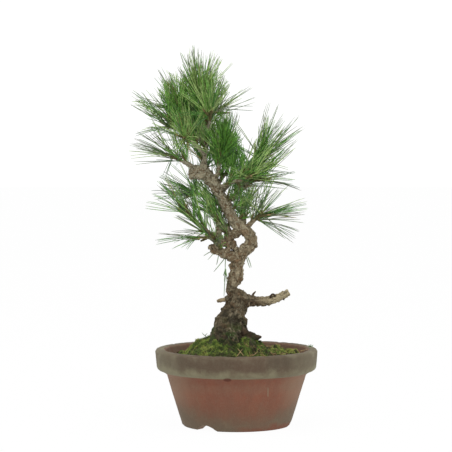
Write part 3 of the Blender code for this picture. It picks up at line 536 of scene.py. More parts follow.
@dataclass(frozen=True)
class Bark(Surface):
    """Flaky bark: dark cracks and pale plates from the relief, darker and greener at the foot, and paler near
    the leader as painted light.
    """

    crack: tuple = (48, 40, 28)
    plate: tuple = (98, 87, 66)
    crest: tuple = (150, 140, 116)
    warm: tuple = (114, 86, 60)
    foot: tuple = (46, 42, 30)
    green: tuple = (48, 62, 26)
    lichen: tuple = (152, 150, 128)
    pale: tuple = (156, 152, 130)
    fresh: tuple = (164, 146, 112)
    foot_top: float = 0.126
    moss_low: float = GROUND + 0.020
    moss_high: float = GROUND + 0.048
    upper_low: float = 0.165
    upper_high: float = 0.200
    pale_from: float = 0.175
    pale_to: float = 0.235
    leader_from: float = 0.252
    leader_to: float = 0.275
    fresh_from: float = 9.0
    fresh_to: float = 9.5
    crack_strength: float = 0.75

    def material(self) -> bpy.types.Material:
        """Build the material."""
        material, graph, shader, place = self.start()
        relief, tone = (
            graph.add("ShaderNodeAttribute", attribute_name=name).outputs["Fac"]
            for name in ("relief", "tone")
        )
        along, _, height = graph.axes(place)
        colour = graph.mix(graph.ramp(tone, 0.35, 1.0), self.plate, self.crest)
        colour = graph.mix(graph.times(graph.ramp(tone, 0.45, 0.0), 0.6), colour, self.warm)
        grain = self.patches(graph, place, 520.0, 0.42, 0.62, 6.0)
        colour = graph.mix(graph.times(grain, 0.35), colour, self.warm)
        flakes = self.patches(graph, place, 900.0, 0.52, 0.64, 5.0)
        colour = graph.mix(graph.times(flakes, 0.55), colour, self.crest)
        fresh = graph.ramp(along, SHIFT.x + self.fresh_from, SHIFT.x + self.fresh_to)
        colour = graph.mix(fresh, colour, self.fresh)
        dabs = self.patches(graph, place, 260.0, 0.61, 0.69, 3.0)
        upper = graph.ramp(height, self.upper_low, self.upper_high)
        colour = graph.mix(graph.times(dabs, upper), colour, self.lichen)
        dim = self.patches(graph, place, 110.0, 0.40, 0.62, 4.0)
        low = graph.ramp(height, self.foot_top - 0.008, self.foot_top + 0.030, 1.0, 0.0)
        colour = graph.mix(graph.times(low, graph.ramp(dim, 0.0, 1.0, 0.45, 0.95)), colour, self.foot)
        pale = graph.times(graph.ramp(height, self.pale_from, self.pale_to, 0.0, 0.95), grain)
        colour = graph.mix(pale, colour, self.pale)
        # Painted light: paler from the leader's height up, lifting the leader and the boughs there out of the
        # shade that the needles above cast
        leader = graph.ramp(height, self.leader_from, self.leader_to, 0.0, 0.6)
        colour = graph.mix(leader, colour, self.pale)
        moss = graph.ramp(height, self.moss_low, self.moss_high, 1.0, 0.0)
        growth = self.patches(graph, place, 120.0, 0.45, 0.62, 5.0)
        colour = graph.mix(graph.times(moss, growth), colour, self.green)
        colour = graph.mix(graph.ramp(relief, 0.40, 0.0, 0.0, self.crack_strength), colour, self.crack)
        self.close(graph, shader, place, colour)
        return material


@dataclass(frozen=True)
class Needle(Surface):
    """Living needles of one shade, with faint lengthwise mottling and a waxy gloss."""

    shade: tuple

    def material(self) -> bpy.types.Material:
        """Build the material."""
        material, graph, shader, place = self.start()
        shader.inputs["Specular IOR Level"].default_value = 0.45
        pale = tuple(min(255, int(value * 1.16 + 6)) for value in self.shade)
        deep = tuple(int(value * 0.84) for value in self.shade)
        colour = graph.mix(self.patches(graph, place, 240.0, 0.35, 0.65, 2.0), deep, pale)
        self.close(graph, shader, place, colour)
        return material


def needle_finish(name: str, shade: tuple) -> Needle:
    """Name a needle finish of one shade."""
    return Needle("needles_" + name, 0.38, 0.55, 0.15, 1500.0, 0.0002, shade)


# bright, fresh, mid, deep and blue are lighter and darker steps of one needle green, dealt partly at random
# and partly as painted light and shade; old and grey are dealt apart
NEEDLE_SHADES = {
    "bright": (134, 160, 90), "fresh": (90, 138, 48), "mid": (68, 114, 44), "deep": (50, 88, 40),
    "blue": (56, 88, 54), "old": (132, 122, 66), "grey": (96, 104, 78),
}


def mottles(shared: tuple, patch: float, tones: dict) -> list:
    """Make one mottled finish for each name's three shades."""
    return [Mottled(name, *shared, *shades, patch) for name, shades in tones.items()]


SHOOT_BARK = Mottled(
    "shoot_bark", 0.75, 0.95, 0.6, 900.0, 0.0004, (88, 84, 50), (68, 64, 40), (112, 108, 70), 500.0,
)
BUD_SCALES = Mottled(
    "bud_scales", 0.6, 0.9, 0.5, 1200.0, 0.0003, (142, 124, 84), (112, 94, 60), (172, 158, 116), 700.0,
)
SHEATH_HUSK = Mottled(
    "sheath_husk", 0.7, 0.9, 0.4, 1200.0, 0.0003, (108, 112, 62), (96, 88, 54), (134, 136, 84), 700.0,
)
LITTER = Mottled("litter", 0.8, 1.0, 0.3, 900.0, 0.0002, (150, 126, 86), (96, 76, 52), (186, 164, 122), 160.0)
DRY = Mottled(
    "dry_needles", 0.7, 0.9, 0.2, 900.0, 0.0002, (164, 140, 96), (124, 102, 68), (188, 166, 124), 300.0,
)
MOSS_BED = Mottled("moss_bed", 0.85, 1.0, 0.8, 900.0, 0.0008, (62, 61, 34), (46, 43, 27), (80, 79, 42), 130.0)
MOSSES = mottles((0.7, 0.9, 0.1, 900.0, 0.0002), 300.0, {
    "moss_lime": ((150, 156, 78), (126, 136, 60), (168, 170, 96)),
    "moss_fresh": ((114, 136, 58), (96, 120, 48), (134, 150, 72)),
    "moss_leaf": ((86, 108, 46), (70, 92, 38), (104, 124, 54)),
    "moss_dark": ((60, 74, 34), (48, 62, 28), (76, 90, 42)),
    "moss_deep": ((42, 50, 28), (34, 40, 22), (56, 64, 34)),
    "moss_dry": ((112, 98, 62), (84, 72, 46), (140, 126, 84)),
})
EARTH = Mottled("soil_bed", 0.9, 1.0, 0.9, 600.0, 0.0010, (78, 60, 44), (56, 44, 34), (112, 92, 66), 260.0)
CRUMBS = mottles((0.9, 1.0, 0.5, 900.0, 0.0004), 400.0, {
    "crumb_brown": ((92, 70, 50), (70, 54, 40), (116, 94, 68)),
    "crumb_dark": ((62, 50, 40), (48, 40, 32), (82, 68, 52)),
    "crumb_tan": ((138, 116, 84), (112, 92, 66), (160, 140, 106)),
})


def deselect() -> None:
    """Leave edit mode and select nothing."""
    if bpy.context.object and bpy.context.object.mode != "OBJECT":
        bpy.ops.object.mode_set(mode="OBJECT")
    bpy.ops.object.select_all(action="DESELECT")


def choose(piece: bpy.types.Object) -> None:
    """Select one piece alone and make it the active one."""
    deselect()
    piece.select_set(True)
    bpy.context.view_layer.objects.active = piece


def settle(piece: bpy.types.Object, slot: Slot, finishes: list, *nodes: str) -> bpy.types.Object:
    """Shift a finished mesh to the pot's place, dress it and let it ride on the frame.

    Args:
        piece: the piece, modelled about the pot's axis.
        slot: not used.
        finishes: its materials, in the order of its faces' numbers.
        *nodes: the CAD nodes that it stands for.

    Returns:
        The same piece.
    """
    piece.data.transform(Matrix.Translation(SHIFT) @ piece.matrix_world)
    piece.matrix_world = Matrix.Identity(4)
    for finish in finishes:
        piece.data.materials.append(finish)
    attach(piece, "root")
    if nodes:
        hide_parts(*nodes)
    LOG.info("%s: %d faces", piece.name, len(piece.data.polygons))
    return piece


def mesh_piece(name: str, points: np.ndarray, faces: np.ndarray, numbers: np.ndarray | None = None,
               smooth: bool = True) -> bpy.types.Object:
    """Make a piece from arrays of points and faces.

    Args:
        name: the piece's name.
        points: one row of x, y and z for each point.
        faces: one row of point numbers for each face.
        numbers: the material number of each face.
        smooth: whether the faces shade smoothly.

    Returns:
        The new object.
    """
    mesh = bpy.data.meshes.new(name)
    mesh.from_pydata(points.tolist(), [], faces.tolist())
    if numbers is not None:
        mesh.polygons.foreach_set("material_index", numbers.astype(np.int32))
    mesh.polygons.foreach_set("use_smooth", np.full(len(faces), smooth))
    piece = bpy.data.objects.new(name, mesh)
    bpy.context.scene.collection.objects.link(piece)
    return piece


def smooth_line(stations: tuple, steps: int) -> list:
    """Points on one smooth line through the stations, with the radius as the fourth value."""
    knots = [Vector(station) for station in stations]
    knots = [2 * knots[0] - knots[1]] + knots + [2 * knots[-1] - knots[-2]]
    points = []
    for before, start, end, after in zip(knots, knots[1:], knots[2:], knots[3:]):
        for step in range(steps):
            share = step / steps
            points.append(0.5 * (
                2 * start
                + (end - before) * share
                + (2 * before - 5 * start + 4 * end - after) * share**2
                + (3 * start - 3 * end + after - before) * share**3
            ))
    points.append(knots[-2])
    return points


class Rod(NamedTuple):
    """A straight round stretch that other growth keeps clear of."""

    start: Vector
    end: Vector
    radius: float
    owner: str


def rods_of(points: list, owner: str) -> list:
    """The straight stretches of a limb or twig."""
    return [Rod(a.to_3d(), b.to_3d(), max(a[3], b[3]), owner) for a, b in zip(points, points[1:])]


def gap_between(one: Rod, other: Rod) -> float:
    """Distance between the axes of two rods."""
    u = one.end - one.start
    v = other.end - other.start
    w = one.start - other.start
    a, b, c, d, e = u.dot(u), u.dot(v), v.dot(v), u.dot(w), v.dot(w)
    across = a * c - b * b
    s = min(max((b * e - c * d) / across, 0.0), 1.0) if across > 1e-16 else 0.0
    t = min(max((b * s + e) / c, 0.0), 1.0)
    s = min(max((b * t - d) / a, 0.0), 1.0)
    return (w + u * s - v * t).length


def is_clear(rod: Rod, others: list) -> bool:
    """Whether a rod stays the clearance away from the growth of every other owner."""
    middle = (rod.start + rod.end) / 2
    reach = (rod.end - rod.start).length / 2 + rod.radius + 2 * GAP
    for other in others:
        if other.owner == rod.owner:
            continue
        other_reach = (other.end - other.start).length / 2 + other.radius
        if (middle - (other.start + other.end) / 2).length > reach + other_reach:
            continue
        if gap_between(rod, other) < rod.radius + other.radius + 2 * GAP:
            return False
    return True


def tilted(axis: Vector, tilt: float, turn: float) -> Vector:
    """A direction tilted from an axis and turned round it, in radians."""
    across = Vector((0.0, 1.0, 0.0)) if abs(axis.y) < 0.8 else Vector((1.0, 0.0, 0.0))
    side = axis.cross(across).normalized()
    side.rotate(Quaternion(axis, turn))
    return axis * math.cos(tilt) + side * math.sin(tilt)


class Shoot(NamedTuple):
    """One shoot of a mass, from its fork to its bud."""

    fork: Vector
    end: Vector
    way: Vector


class Fascicle(NamedTuple):
    """A pair of needles: the root in the bark, the point between the two tips, and its shade."""

    root: Vector
    point: Vector
    shade: int


class Growth(NamedTuple):
    """What a mass is grown from: its twigs' lines, its shoots and the source's own needles."""

    twigs: list
    shoots: list
    needles: list


@dataclass
class GrowthRule:
    """The seeded rule by which a mass grows on from its limb, as in the part's source."""

    bend_length: float = 0.0015
    stem_share: float = 0.95
    fork_spread: float = 4
    shoot_length: float = 0.0135
    shoot_lengths: tuple = (0.9, 1.1)
    shoot_root: float = 0.5
    shoot_root_share: float = 0.8
    shoot_swell: float = 0.0021
    swell_from: float = 0.35
    swell_to: float = 0.75
    swell_left: float = 0.9
    shoot_tip: float = 0.0012
    needles_on_shoot: int = 12
    needle_root: float = 0.0009
    first_needle: float = 0.20
    last_needle: float = 0.95
    narrowest_tilt: float = 14
    tilt_fall: float = 0.8
    tilt_spread: float = 6
    turn_spread: float = 0.3
    turn_per_try: float = 0.35
    shortest_share: float = 0.80
    needle_tries: int = 8
    half_depth: float = 0.0800
    top: float = 0.3808
    left: float = -0.1087
    right: float = 0.0725
    source_top: float = 0.3815
    source_left: float = -0.1090

    def in_crown(self, point: Vector) -> bool:
        """Whether a point lies within the crown's own reach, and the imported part's box."""
        return self.left <= point.x <= self.right and abs(point.y) <= self.half_depth and point.z <= self.top

    def in_source(self, point: Vector) -> bool:
        """Whether a point lies within the reach that the part's source gives."""
        inside = self.source_left <= point.x <= self.right and abs(point.y) <= self.half_depth
        return inside and point.z <= self.source_top

    def spread(self, mass: Mass, share: float, chance: random.Random) -> float:
        """The tilt of a needle from its shoot, at this share of the shoot's length, in radians."""
        tilt = self.narrowest_tilt + (mass.opening - self.narrowest_tilt) * (1 - share) ** self.tilt_fall
        return math.radians(tilt + chance.uniform(-self.tilt_spread, self.tilt_spread))

    def grow(self, mass: Mass, line: list, others: list) -> Growth:
        """Grow a mass on from its carrier's tip, clear of all other growth.

        Args:
            mass: the mass.
            line: the points of its carrier's line.
            others: the rods of all that grew before.

        Returns:
            The mass's growth.
        """
        chance = random.Random(mass.name + str(SEED))
        tip = line[-1].to_3d()
        tip_radius = line[-1][3]
        direction = (tip - line[-2].to_3d()).normalized()
        heading = Vector(mass.heading).normalized()
        start = tip + direction * GAP
        bend = start + direction * self.bend_length
        fork = bend + (direction + 2 * heading).normalized() * mass.stem
        twigs = [[
            Vector((*start, tip_radius * self.stem_share)),
            Vector((*bend, tip_radius * self.stem_share)),
            Vector((*fork, tip_radius)),
        ]]
        shoots = []
        needles = []
        for shoot in range(mass.shoots):
            tilt = 0.0
            if shoot:
                tilt = math.radians(mass.fork + chance.uniform(-self.fork_spread, self.fork_spread))
            turn = math.radians(mass.turn) + shoot * math.tau / max(mass.shoots - 1, 1)
            way = tilted(heading, tilt, turn)
            end = fork + way * self.shoot_length * chance.uniform(*self.shoot_lengths)
            shoots.append(Shoot(fork, end, way))
            twigs.append([
                Vector((*(fork - way * tip_radius * self.shoot_root), tip_radius * self.shoot_root_share)),
                Vector((*fork.lerp(end, self.swell_from), self.shoot_swell)),
                Vector((*fork.lerp(end, self.swell_to), self.shoot_swell * self.swell_left)),
                Vector((*end, self.shoot_tip)),
            ])
            for index in range(self.needles_on_shoot):
                share = (index + 0.5) / self.needles_on_shoot
                root = fork.lerp(end, self.first_needle + (self.last_needle - self.first_needle) * share)
                for attempt in range(self.needle_tries):
                    spread = self.spread(mass, share, chance)
                    turn = chance.uniform(-self.turn_spread, self.turn_spread)
                    turn += index * GOLDEN_ANGLE + attempt * self.turn_per_try
                    length = mass.needle * chance.uniform(self.shortest_share, 1.0)
                    point = root + tilted(way, spread, turn) * length
                    needle = Rod(root, point, self.needle_root, mass.name)
                    if self.in_source(point) and is_clear(needle, others):
                        needles.append(needle)
                        break
        return Growth(twigs, shoots, needles)


def squares(ways: np.ndarray) -> tuple:
    """Two directions across each way, square to it and to each other."""
    across = np.where(np.abs(ways[..., 1:2]) < 0.8, [0.0, 1.0, 0.0], [1.0, 0.0, 0.0])
    first = np.cross(ways, across)
    first /= np.linalg.norm(first, axis=-1, keepdims=True)
    return first, np.cross(ways, first)


def flat(spot: Vector) -> Vector:
    """A spot laid flat in the plane of the front view."""
    return Vector((spot.x, 0.0, spot.z))


def tube_arrays(lines: list, sides: int, ripple: float, seed: int) -> tuple:
    """Rough tubes along lines, closed at both ends, as joined arrays.

    Args:
        lines: points with a radius as their fourth value, all lines of one length.
        sides: corners round each tube.
        ripple: how far the radius varies, as a share.
        seed: start of the chance numbers.

    Returns:
        Points and triangles.
    """
    chance = np.random.default_rng(seed)
    data = np.array([[tuple(point) for point in line] for line in lines])
    count, rings, _ = data.shape
    centres, radii = data[:, :, :3], data[:, :, 3]
    along = np.gradient(centres, axis=1)
    along /= np.linalg.norm(along, axis=2, keepdims=True) + 1e-12
    first, second = squares(along)
    angles = np.arange(sides) * math.tau / sides
    turn = chance.uniform(0, math.tau, (count, 1, 1)) + angles
    bulge = radii[:, :, None] * (1 + chance.uniform(-ripple, ripple, (count, rings, sides)))
    rim = first[:, :, None, :] * np.cos(turn)[..., None] + second[:, :, None, :] * np.sin(turn)[..., None]
    points = centres[:, :, None, :] + rim * bulge[..., None]
    points = np.concatenate([points.reshape(count, -1, 3), centres[:, :1], centres[:, -1:]], axis=1)
    faces = []
    for ring in range(rings - 1):
        for side in range(sides):
            a, b = ring * sides + side, ring * sides + (side + 1) % sides
            faces += [(a, a + sides, b), (b, a + sides, b + sides)]
    last = (rings - 1) * sides
    for side in range(sides):
        faces.append((rings * sides, side, (side + 1) % sides))
        faces.append((rings * sides + 1, last + (side + 1) % sides, last + side))
    faces = np.array(faces)
    offsets = np.arange(count)[:, None, None] * points.shape[1]
    return points.reshape(-1, 3), (faces[None] + offsets).reshape(-1, 3)


def tubes(name: str, lines: list, form: tuple, slot: Slot, finish: Surface, *nodes: str) -> bpy.types.Object:
    """Make one finished piece of tubes.

    Args:
        name: the piece's name.
        lines: points with a radius as their fourth value.
        form: sides, ripple and seed, as tube_arrays() takes them.
        slot: the material slot, handed on to settle().
        finish: its finish.
        *nodes: the CAD nodes that it stands for.

    Returns:
        The finished piece.
    """
    coords, faces = tube_arrays(lines, *form)
    return settle(mesh_piece(name, coords, faces), slot, [finish.material()], *nodes)


def spike_arrays(roots: np.ndarray, tips: np.ndarray, radius: float) -> tuple:
    """Three-sided spikes as joined arrays.

    Args:
        roots: the middle of each foot.
        tips: the point of each spike.
        radius: half the width of the foot.

    Returns:
        Points and triangles, four of each to a spike.
    """
    ways = tips - roots
    ways /= np.linalg.norm(ways, axis=1, keepdims=True)
    first, second = squares(ways)
    corners = [
        roots + radius * (first * math.cos(turn) + second * math.sin(turn))
        for turn in (0.0, math.tau / 3, 2 * math.tau / 3)
    ]
    points = np.stack([*corners, tips], axis=1)
    faces = np.array([(0, 1, 3), (1, 2, 3), (2, 0, 3), (2, 1, 0)])
    offsets = np.arange(len(roots))[:, None, None] * 4
    return points.reshape(-1, 3), (faces[None] + offsets).reshape(-1, 3)


NEEDLE_STATIONS = ((0.0, 0.7), (0.12, 1.0), (0.5, 0.95), (0.82, 0.76), (0.95, 0.48), (1.0, 0.06))


def needle_lines(roots: np.ndarray, tips: np.ndarray, bows: np.ndarray, radius: np.ndarray) -> list:
    """Bowed, tapering needle lines from roots to tips, as points with a radius."""
    lines = []
    for share, size in NEEDLE_STATIONS:
        middle = (roots + tips) / 2 + bows
        spot = roots * (1 - share) ** 2 + 2 * middle * share * (1 - share) + tips * share**2
        lines.append(np.concatenate([spot, radius[:, None] * size], axis=1))
    return np.stack(lines, axis=1)


class Region(NamedTuple):
    """A round place in the front view, and the share of the needles there that is kept."""

    x: float
    z: float
    half_x: float
    half_z: float
    kept: float = 1.0

    def share(self, spot: Vector) -> float:
        """How far out a spot lies: 0 in the middle, 1 on the edge."""
        return math.hypot((spot.x - self.x) / self.half_x, (spot.z - self.z) / self.half_z)

    def is_crossed(self, root: Vector, point: Vector) -> bool:
        """Whether a needle crosses the place."""
        return any(self.share(root.lerp(point, step / 9)) < 1 for step in range(3, 10))


def regions(*rows: tuple) -> tuple:
    """Turn rows of a middle and half sizes in millimetres, and the share that is kept, into regions."""
    return tuple(Region(*metres(row[:4])[0], row[4]) for row in rows)


# Where the crown is dense, from the top down, and then where its needles stand apart
STANDS = regions(
    (-40, 330, 24, 34, 1.0), (-33.5, 296, 38, 34, 1.0), (-15, 254.5, 36, 34, 1.0),
    (-28, 216.5, 37, 30, 0.75), (3.5, 229, 20, 36, 0.8), (-15, 195, 28, 19, 0.8), (-62, 332, 18, 26, 1.0),
    (0, 286, 11, 24, 1.0), (31, 276, 11, 36, 1.0), (-85, 315, 14, 6, 0.45), (-34.5, 360, 27, 16, 0.5),
    (-98.5, 320, 13, 9, 0.35), (-15, 346, 11, 18, 0.9), (48, 193, 18, 9, 0.8), (-92, 283, 16, 18, 0.3),
    (-78, 237, 18, 21, 0.6), (51, 212.5, 18, 11, 0.9), (53, 294, 16, 18, 0.7), (-54, 183, 20, 8, 0.6),
    (46, 242, 15, 12, 0.5),
)
# Where the sky shows, and few or no needles cross it
SKY = regions(
    (13.5, 296.5, 8.5, 31, 0.12), (-79.5, 259, 10, 6, 0.2), (43.5, 224.5, 13, 5, 0.2),
    (50, 202, 12, 3.5, 0.3), (-64.5, 200.5, 14, 8, 0.15), (-68.5, 364.5, 11, 9, 0.1), (-5, 364, 9, 11, 0.1),
    (9, 350, 16, 12.5, 0.05), (5, 305, 11, 6, 0.2), (7, 226, 13, 14, 0.45), (4.2, 184, 5, 5.8, 0.3),
    (-44, 160, 13, 12, 0.0),
)


class Side(NamedTuple):
    """A finer twig that the rule is carried on to: its limb, its place, its way and its needles."""

    carrier: str
    near: tuple
    heading: tuple
    needle: float
    count: int


def twigs_on(carrier: str, *rows: tuple) -> list:
    """Turn rows of a place in millimetres, a heading, a needle in millimetres and a count into twigs."""
    return [
        Side(carrier, metres(near)[0], heading, round(needle / 1000, 7), count)
        for near, heading, needle, count in rows
    ]


SIDES = (
    *twigs_on(
        "bough_top_left_upper",
        ((-49, 7, 306.5), (-0.1, -0.1, 1.0), 46, 22), ((-42, 5, 301), (-0.35, -0.2, 0.9), 44, 14),
        ((-49, 7, 306.5), (-0.4, -0.15, 0.95), 47, 22),
    ),
    *twigs_on("bough_top_left", ((-54, -5, 293.5), (-0.2, -0.1, 1.0), 47, 18)),
    *twigs_on(
        "bough_front_top",
        ((-26.5, -19, 305), (0.05, -0.15, 1.0), 42, 10), ((-28, -10, 299), (-0.3, -0.2, 0.95), 42, 14),
    ),
    *twigs_on(
        "bough_front_left",
        ((-39, -9, 279), (-0.15, -0.35, 1.0), 38, 14), ((-46, -20, 285), (-0.25, -0.15, 1.0), 40, 12),
        ((-39, -9, 279), (-0.75, -0.3, 0.5), 36, 9),
    ),
    *twigs_on(
        "trunk",
        ((-31.5, 2, 269), (-0.3, -0.55, 0.85), 34, 12), ((-21.5, 5, 240.5), (0.25, 0.4, 0.95), 36, 12),
    ),
    *twigs_on("bough_right", ((-12, 3, 223), (0.1, 0.35, 1.0), 38, 12)),
    *twigs_on(
        "bough_centre",
        ((-17.5, -3, 261), (-0.2, -0.25, 1.0), 36, 12), ((-15, -4, 267.5), (0.4, -0.15, 1.0), 39, 26),
        ((-17.5, -3, 261), (0.15, -0.3, 1.0), 38, 16),
    ),
    *twigs_on(
        "bough_top_right",
        ((-26.5, 3, 309.5), (0.32, -0.1, 0.95), 43, 12), ((-26.5, 3, 309.5), (0.15, 0.05, 1.0), 51, 10),
    ),
    *twigs_on(
        "trunk",
        ((-35.5, 0, 313), (0.35, -0.1, 0.95), 48, 16), ((-34.5, 0, 308), (0.25, -0.35, 0.95), 44, 14),
        ((-34, 1, 305), (-0.15, -0.35, 1.0), 43, 12), ((-1.2, -1, 203.5), (0.75, -0.45, 0.75), 38, 8),
        ((-7.5, 1, 213), (0.8, -0.35, 0.75), 40, 9), ((-12.5, 2, 222.5), (0.85, -0.35, 0.7), 40, 9),
    ),
    *twigs_on(
        "bough_top_left",
        ((-54, -5, 293.5), (-0.55, -0.1, 0.75), 48, 14), ((-42, -2, 289), (-0.3, -0.2, 0.9), 44, 12),
    ),
    *twigs_on(
        "bough_upper_left",
        ((-56, -3, 265), (-0.8, -0.1, 0.7), 44, 10), ((-49, -1, 261.5), (-0.55, -0.2, 0.9), 38, 10),
    ),
    *twigs_on(
        "trunk",
        ((-32.5, 4.5, 260), (-0.45, 0.3, 0.8), 38, 12), ((-30, 3, 272), (-0.4, -0.4, 0.85), 38, 10),
        ((-31, 3, 280), (0.4, 0.2, 0.9), 38, 14), ((-30, 3, 252), (0.3, 0.6, 0.75), 36, 12),
    ),
    *twigs_on(
        "bough_centre",
        ((-18.5, -1, 253), (-0.1, -0.1, 1.0), 36, 12), ((-17.5, -3, 261), (0.45, -0.1, 0.9), 40, 16),
        ((-15, -4, 267.5), (0.12, 0.1, 1.0), 38, 16),
    ),
    *twigs_on(
        "bough_right",
        ((-2, 9.5, 229), (0.1, 0.1, 1.0), 42, 9), ((7, 12, 239), (0.2, 0.0, 1.0), 42, 8),
        ((15, 11, 255), (0.3, -0.1, 1.0), 48, 12), ((15, 11, 255), (0.85, -0.1, 0.7), 56, 11),
    ),
    *twigs_on(
        "bough_right_mid",
        ((8, 6, 237.5), (0.7, -0.1, 0.65), 46, 12), ((13.5, 2, 243), (0.9, -0.1, 0.3), 50, 10),
    ),
    *twigs_on("bough_back_mid", ((-16, 13, 245.5), (0.2, 0.1, 1.0), 40, 8)),
    *twigs_on("bough_back_right", ((-10, 16, 239), (0.45, 0.1, 0.8), 44, 8)),
    *twigs_on(
        "bough_back_low",
        ((6.5, 5, 204), (0.5, 0.2, 0.85), 42, 8), ((7, 12, 207), (0.05, 0.1, 1.0), 40, 7),
    ),
    *twigs_on(
        "bough_back_left",
        ((-21, 14, 223), (-0.25, -0.1, 1.0), 40, 7), ((-12, 6, 219), (-0.3, 0.2, 0.9), 36, 12),
    ),
    *twigs_on(
        "bough_inner_left",
        ((-13, 9, 201), (-0.25, 0.0, 1.0), 44, 16), ((-9.2, 3, 196.5), (0.2, 0.4, 0.9), 28, 10),
    ),
    *twigs_on(
        "bough_left_shoot",
        ((-40, -9, 203), (-0.55, 0.0, 0.85), 48, 12), ((-29, -6.5, 194.5), (-0.5, -0.1, 0.85), 46, 12),
        ((-29, -6.5, 194.5), (-1.0, -0.1, 0.1), 42, 8),
    ),
    *twigs_on(
        "bough_left_riser",
        ((-18.2, -3.5, 191.5), (-1.0, 0.2, -0.1), 34, 8), ((-18, -3.5, 200), (-0.15, -0.1, 1.0), 38, 12),
    ),
    *twigs_on("bough_low_left", ((-28.5, -13, 188.5), (-0.88, -0.1, -0.42), 48, 12)),
    *twigs_on("bough_centre", ((-15, -4, 267.5), (-0.24, -0.5, 1.0), 44, 14)),
    *twigs_on("trunk", ((-30.5, 2, 280), (0.05, -0.6, 1.0), 42, 14)),
    *twigs_on("bough_front_top", ((-28, -10, 299), (0.05, -0.55, 1.0), 40, 10)),
    *twigs_on(
        "bough_lower_right",
        ((19, -7.5, 207.5), (0.7, -0.1, 0.75), 48, 9), ((19, -7.5, 207.5), (0.95, -0.1, -0.5), 46, 11),
        ((14, -6, 202), (0.3, -0.1, 1.0), 34, 9),
    ),
    *twigs_on("bough_inner_left", ((-3, -1, 190.5), (-0.1, 0.4, -0.8), 20, 5)),
    *twigs_on("bough_left_riser", ((-17.2, -4, 184.5), (-0.4, -0.8, 0.45), 28, 9)),
    *twigs_on("bough_inner_left", ((-8, 0, 190.5), (-0.3, -0.85, 0.45), 28, 9)),
    *twigs_on("bough_lower_left", ((-15, -5.5, 173.8), (-0.2, -0.8, 0.6), 26, 7)),
    *twigs_on("bough_back_low", ((7, 12, 207), (-0.5, 0.1, 0.9), 36, 10)),
    *twigs_on("bough_right_mid", ((-0.5, 10, 230.5), (0.2, -0.6, 0.8), 36, 9)),
    *twigs_on("bough_right", ((-12, 3, 223), (0.4, -0.3, 0.9), 34, 8)),
    *twigs_on("bough_centre", ((-22.5, 3.5, 243), (0.3, -0.5, 0.85), 34, 12)),
    *twigs_on(
        "bough_front_right",
        ((-6, -5, 242.5), (0.1, -0.4, 0.9), 38, 9), ((-10, -2, 241), (0.5, -0.7, 0.4), 28, 7),
        ((-1, -9, 244.5), (0.4, -0.75, 0.45), 30, 7), ((-1, -9, 244.5), (0.3, -0.3, -0.6), 30, 5),
        ((6, -15, 247), (0.15, -0.1, 1.0), 38, 7), ((6, -15, 247), (0.8, -0.1, 0.6), 44, 6),
    ),
)
# How full of new needles a mass is, where it isn't as full as the rest
FULLNESS = {
    "lower_right": 0.3, "low_left": 0.2, "mid_left": 0.4, "right_mid": 0.3, "front_left": 0.4,
    "front_right": 0.25, "lower_left": 0.25, "right_upper": 0.45, "back_left": 0.42, "left_inner": 0.4,
    "inner_back": 0.4, "back_mid": 0.5, "front_top": 0.3, "top_left": 0.5, "back_right": 0.32,
    "back_low": 0.4, "top_right": 0.4,
}


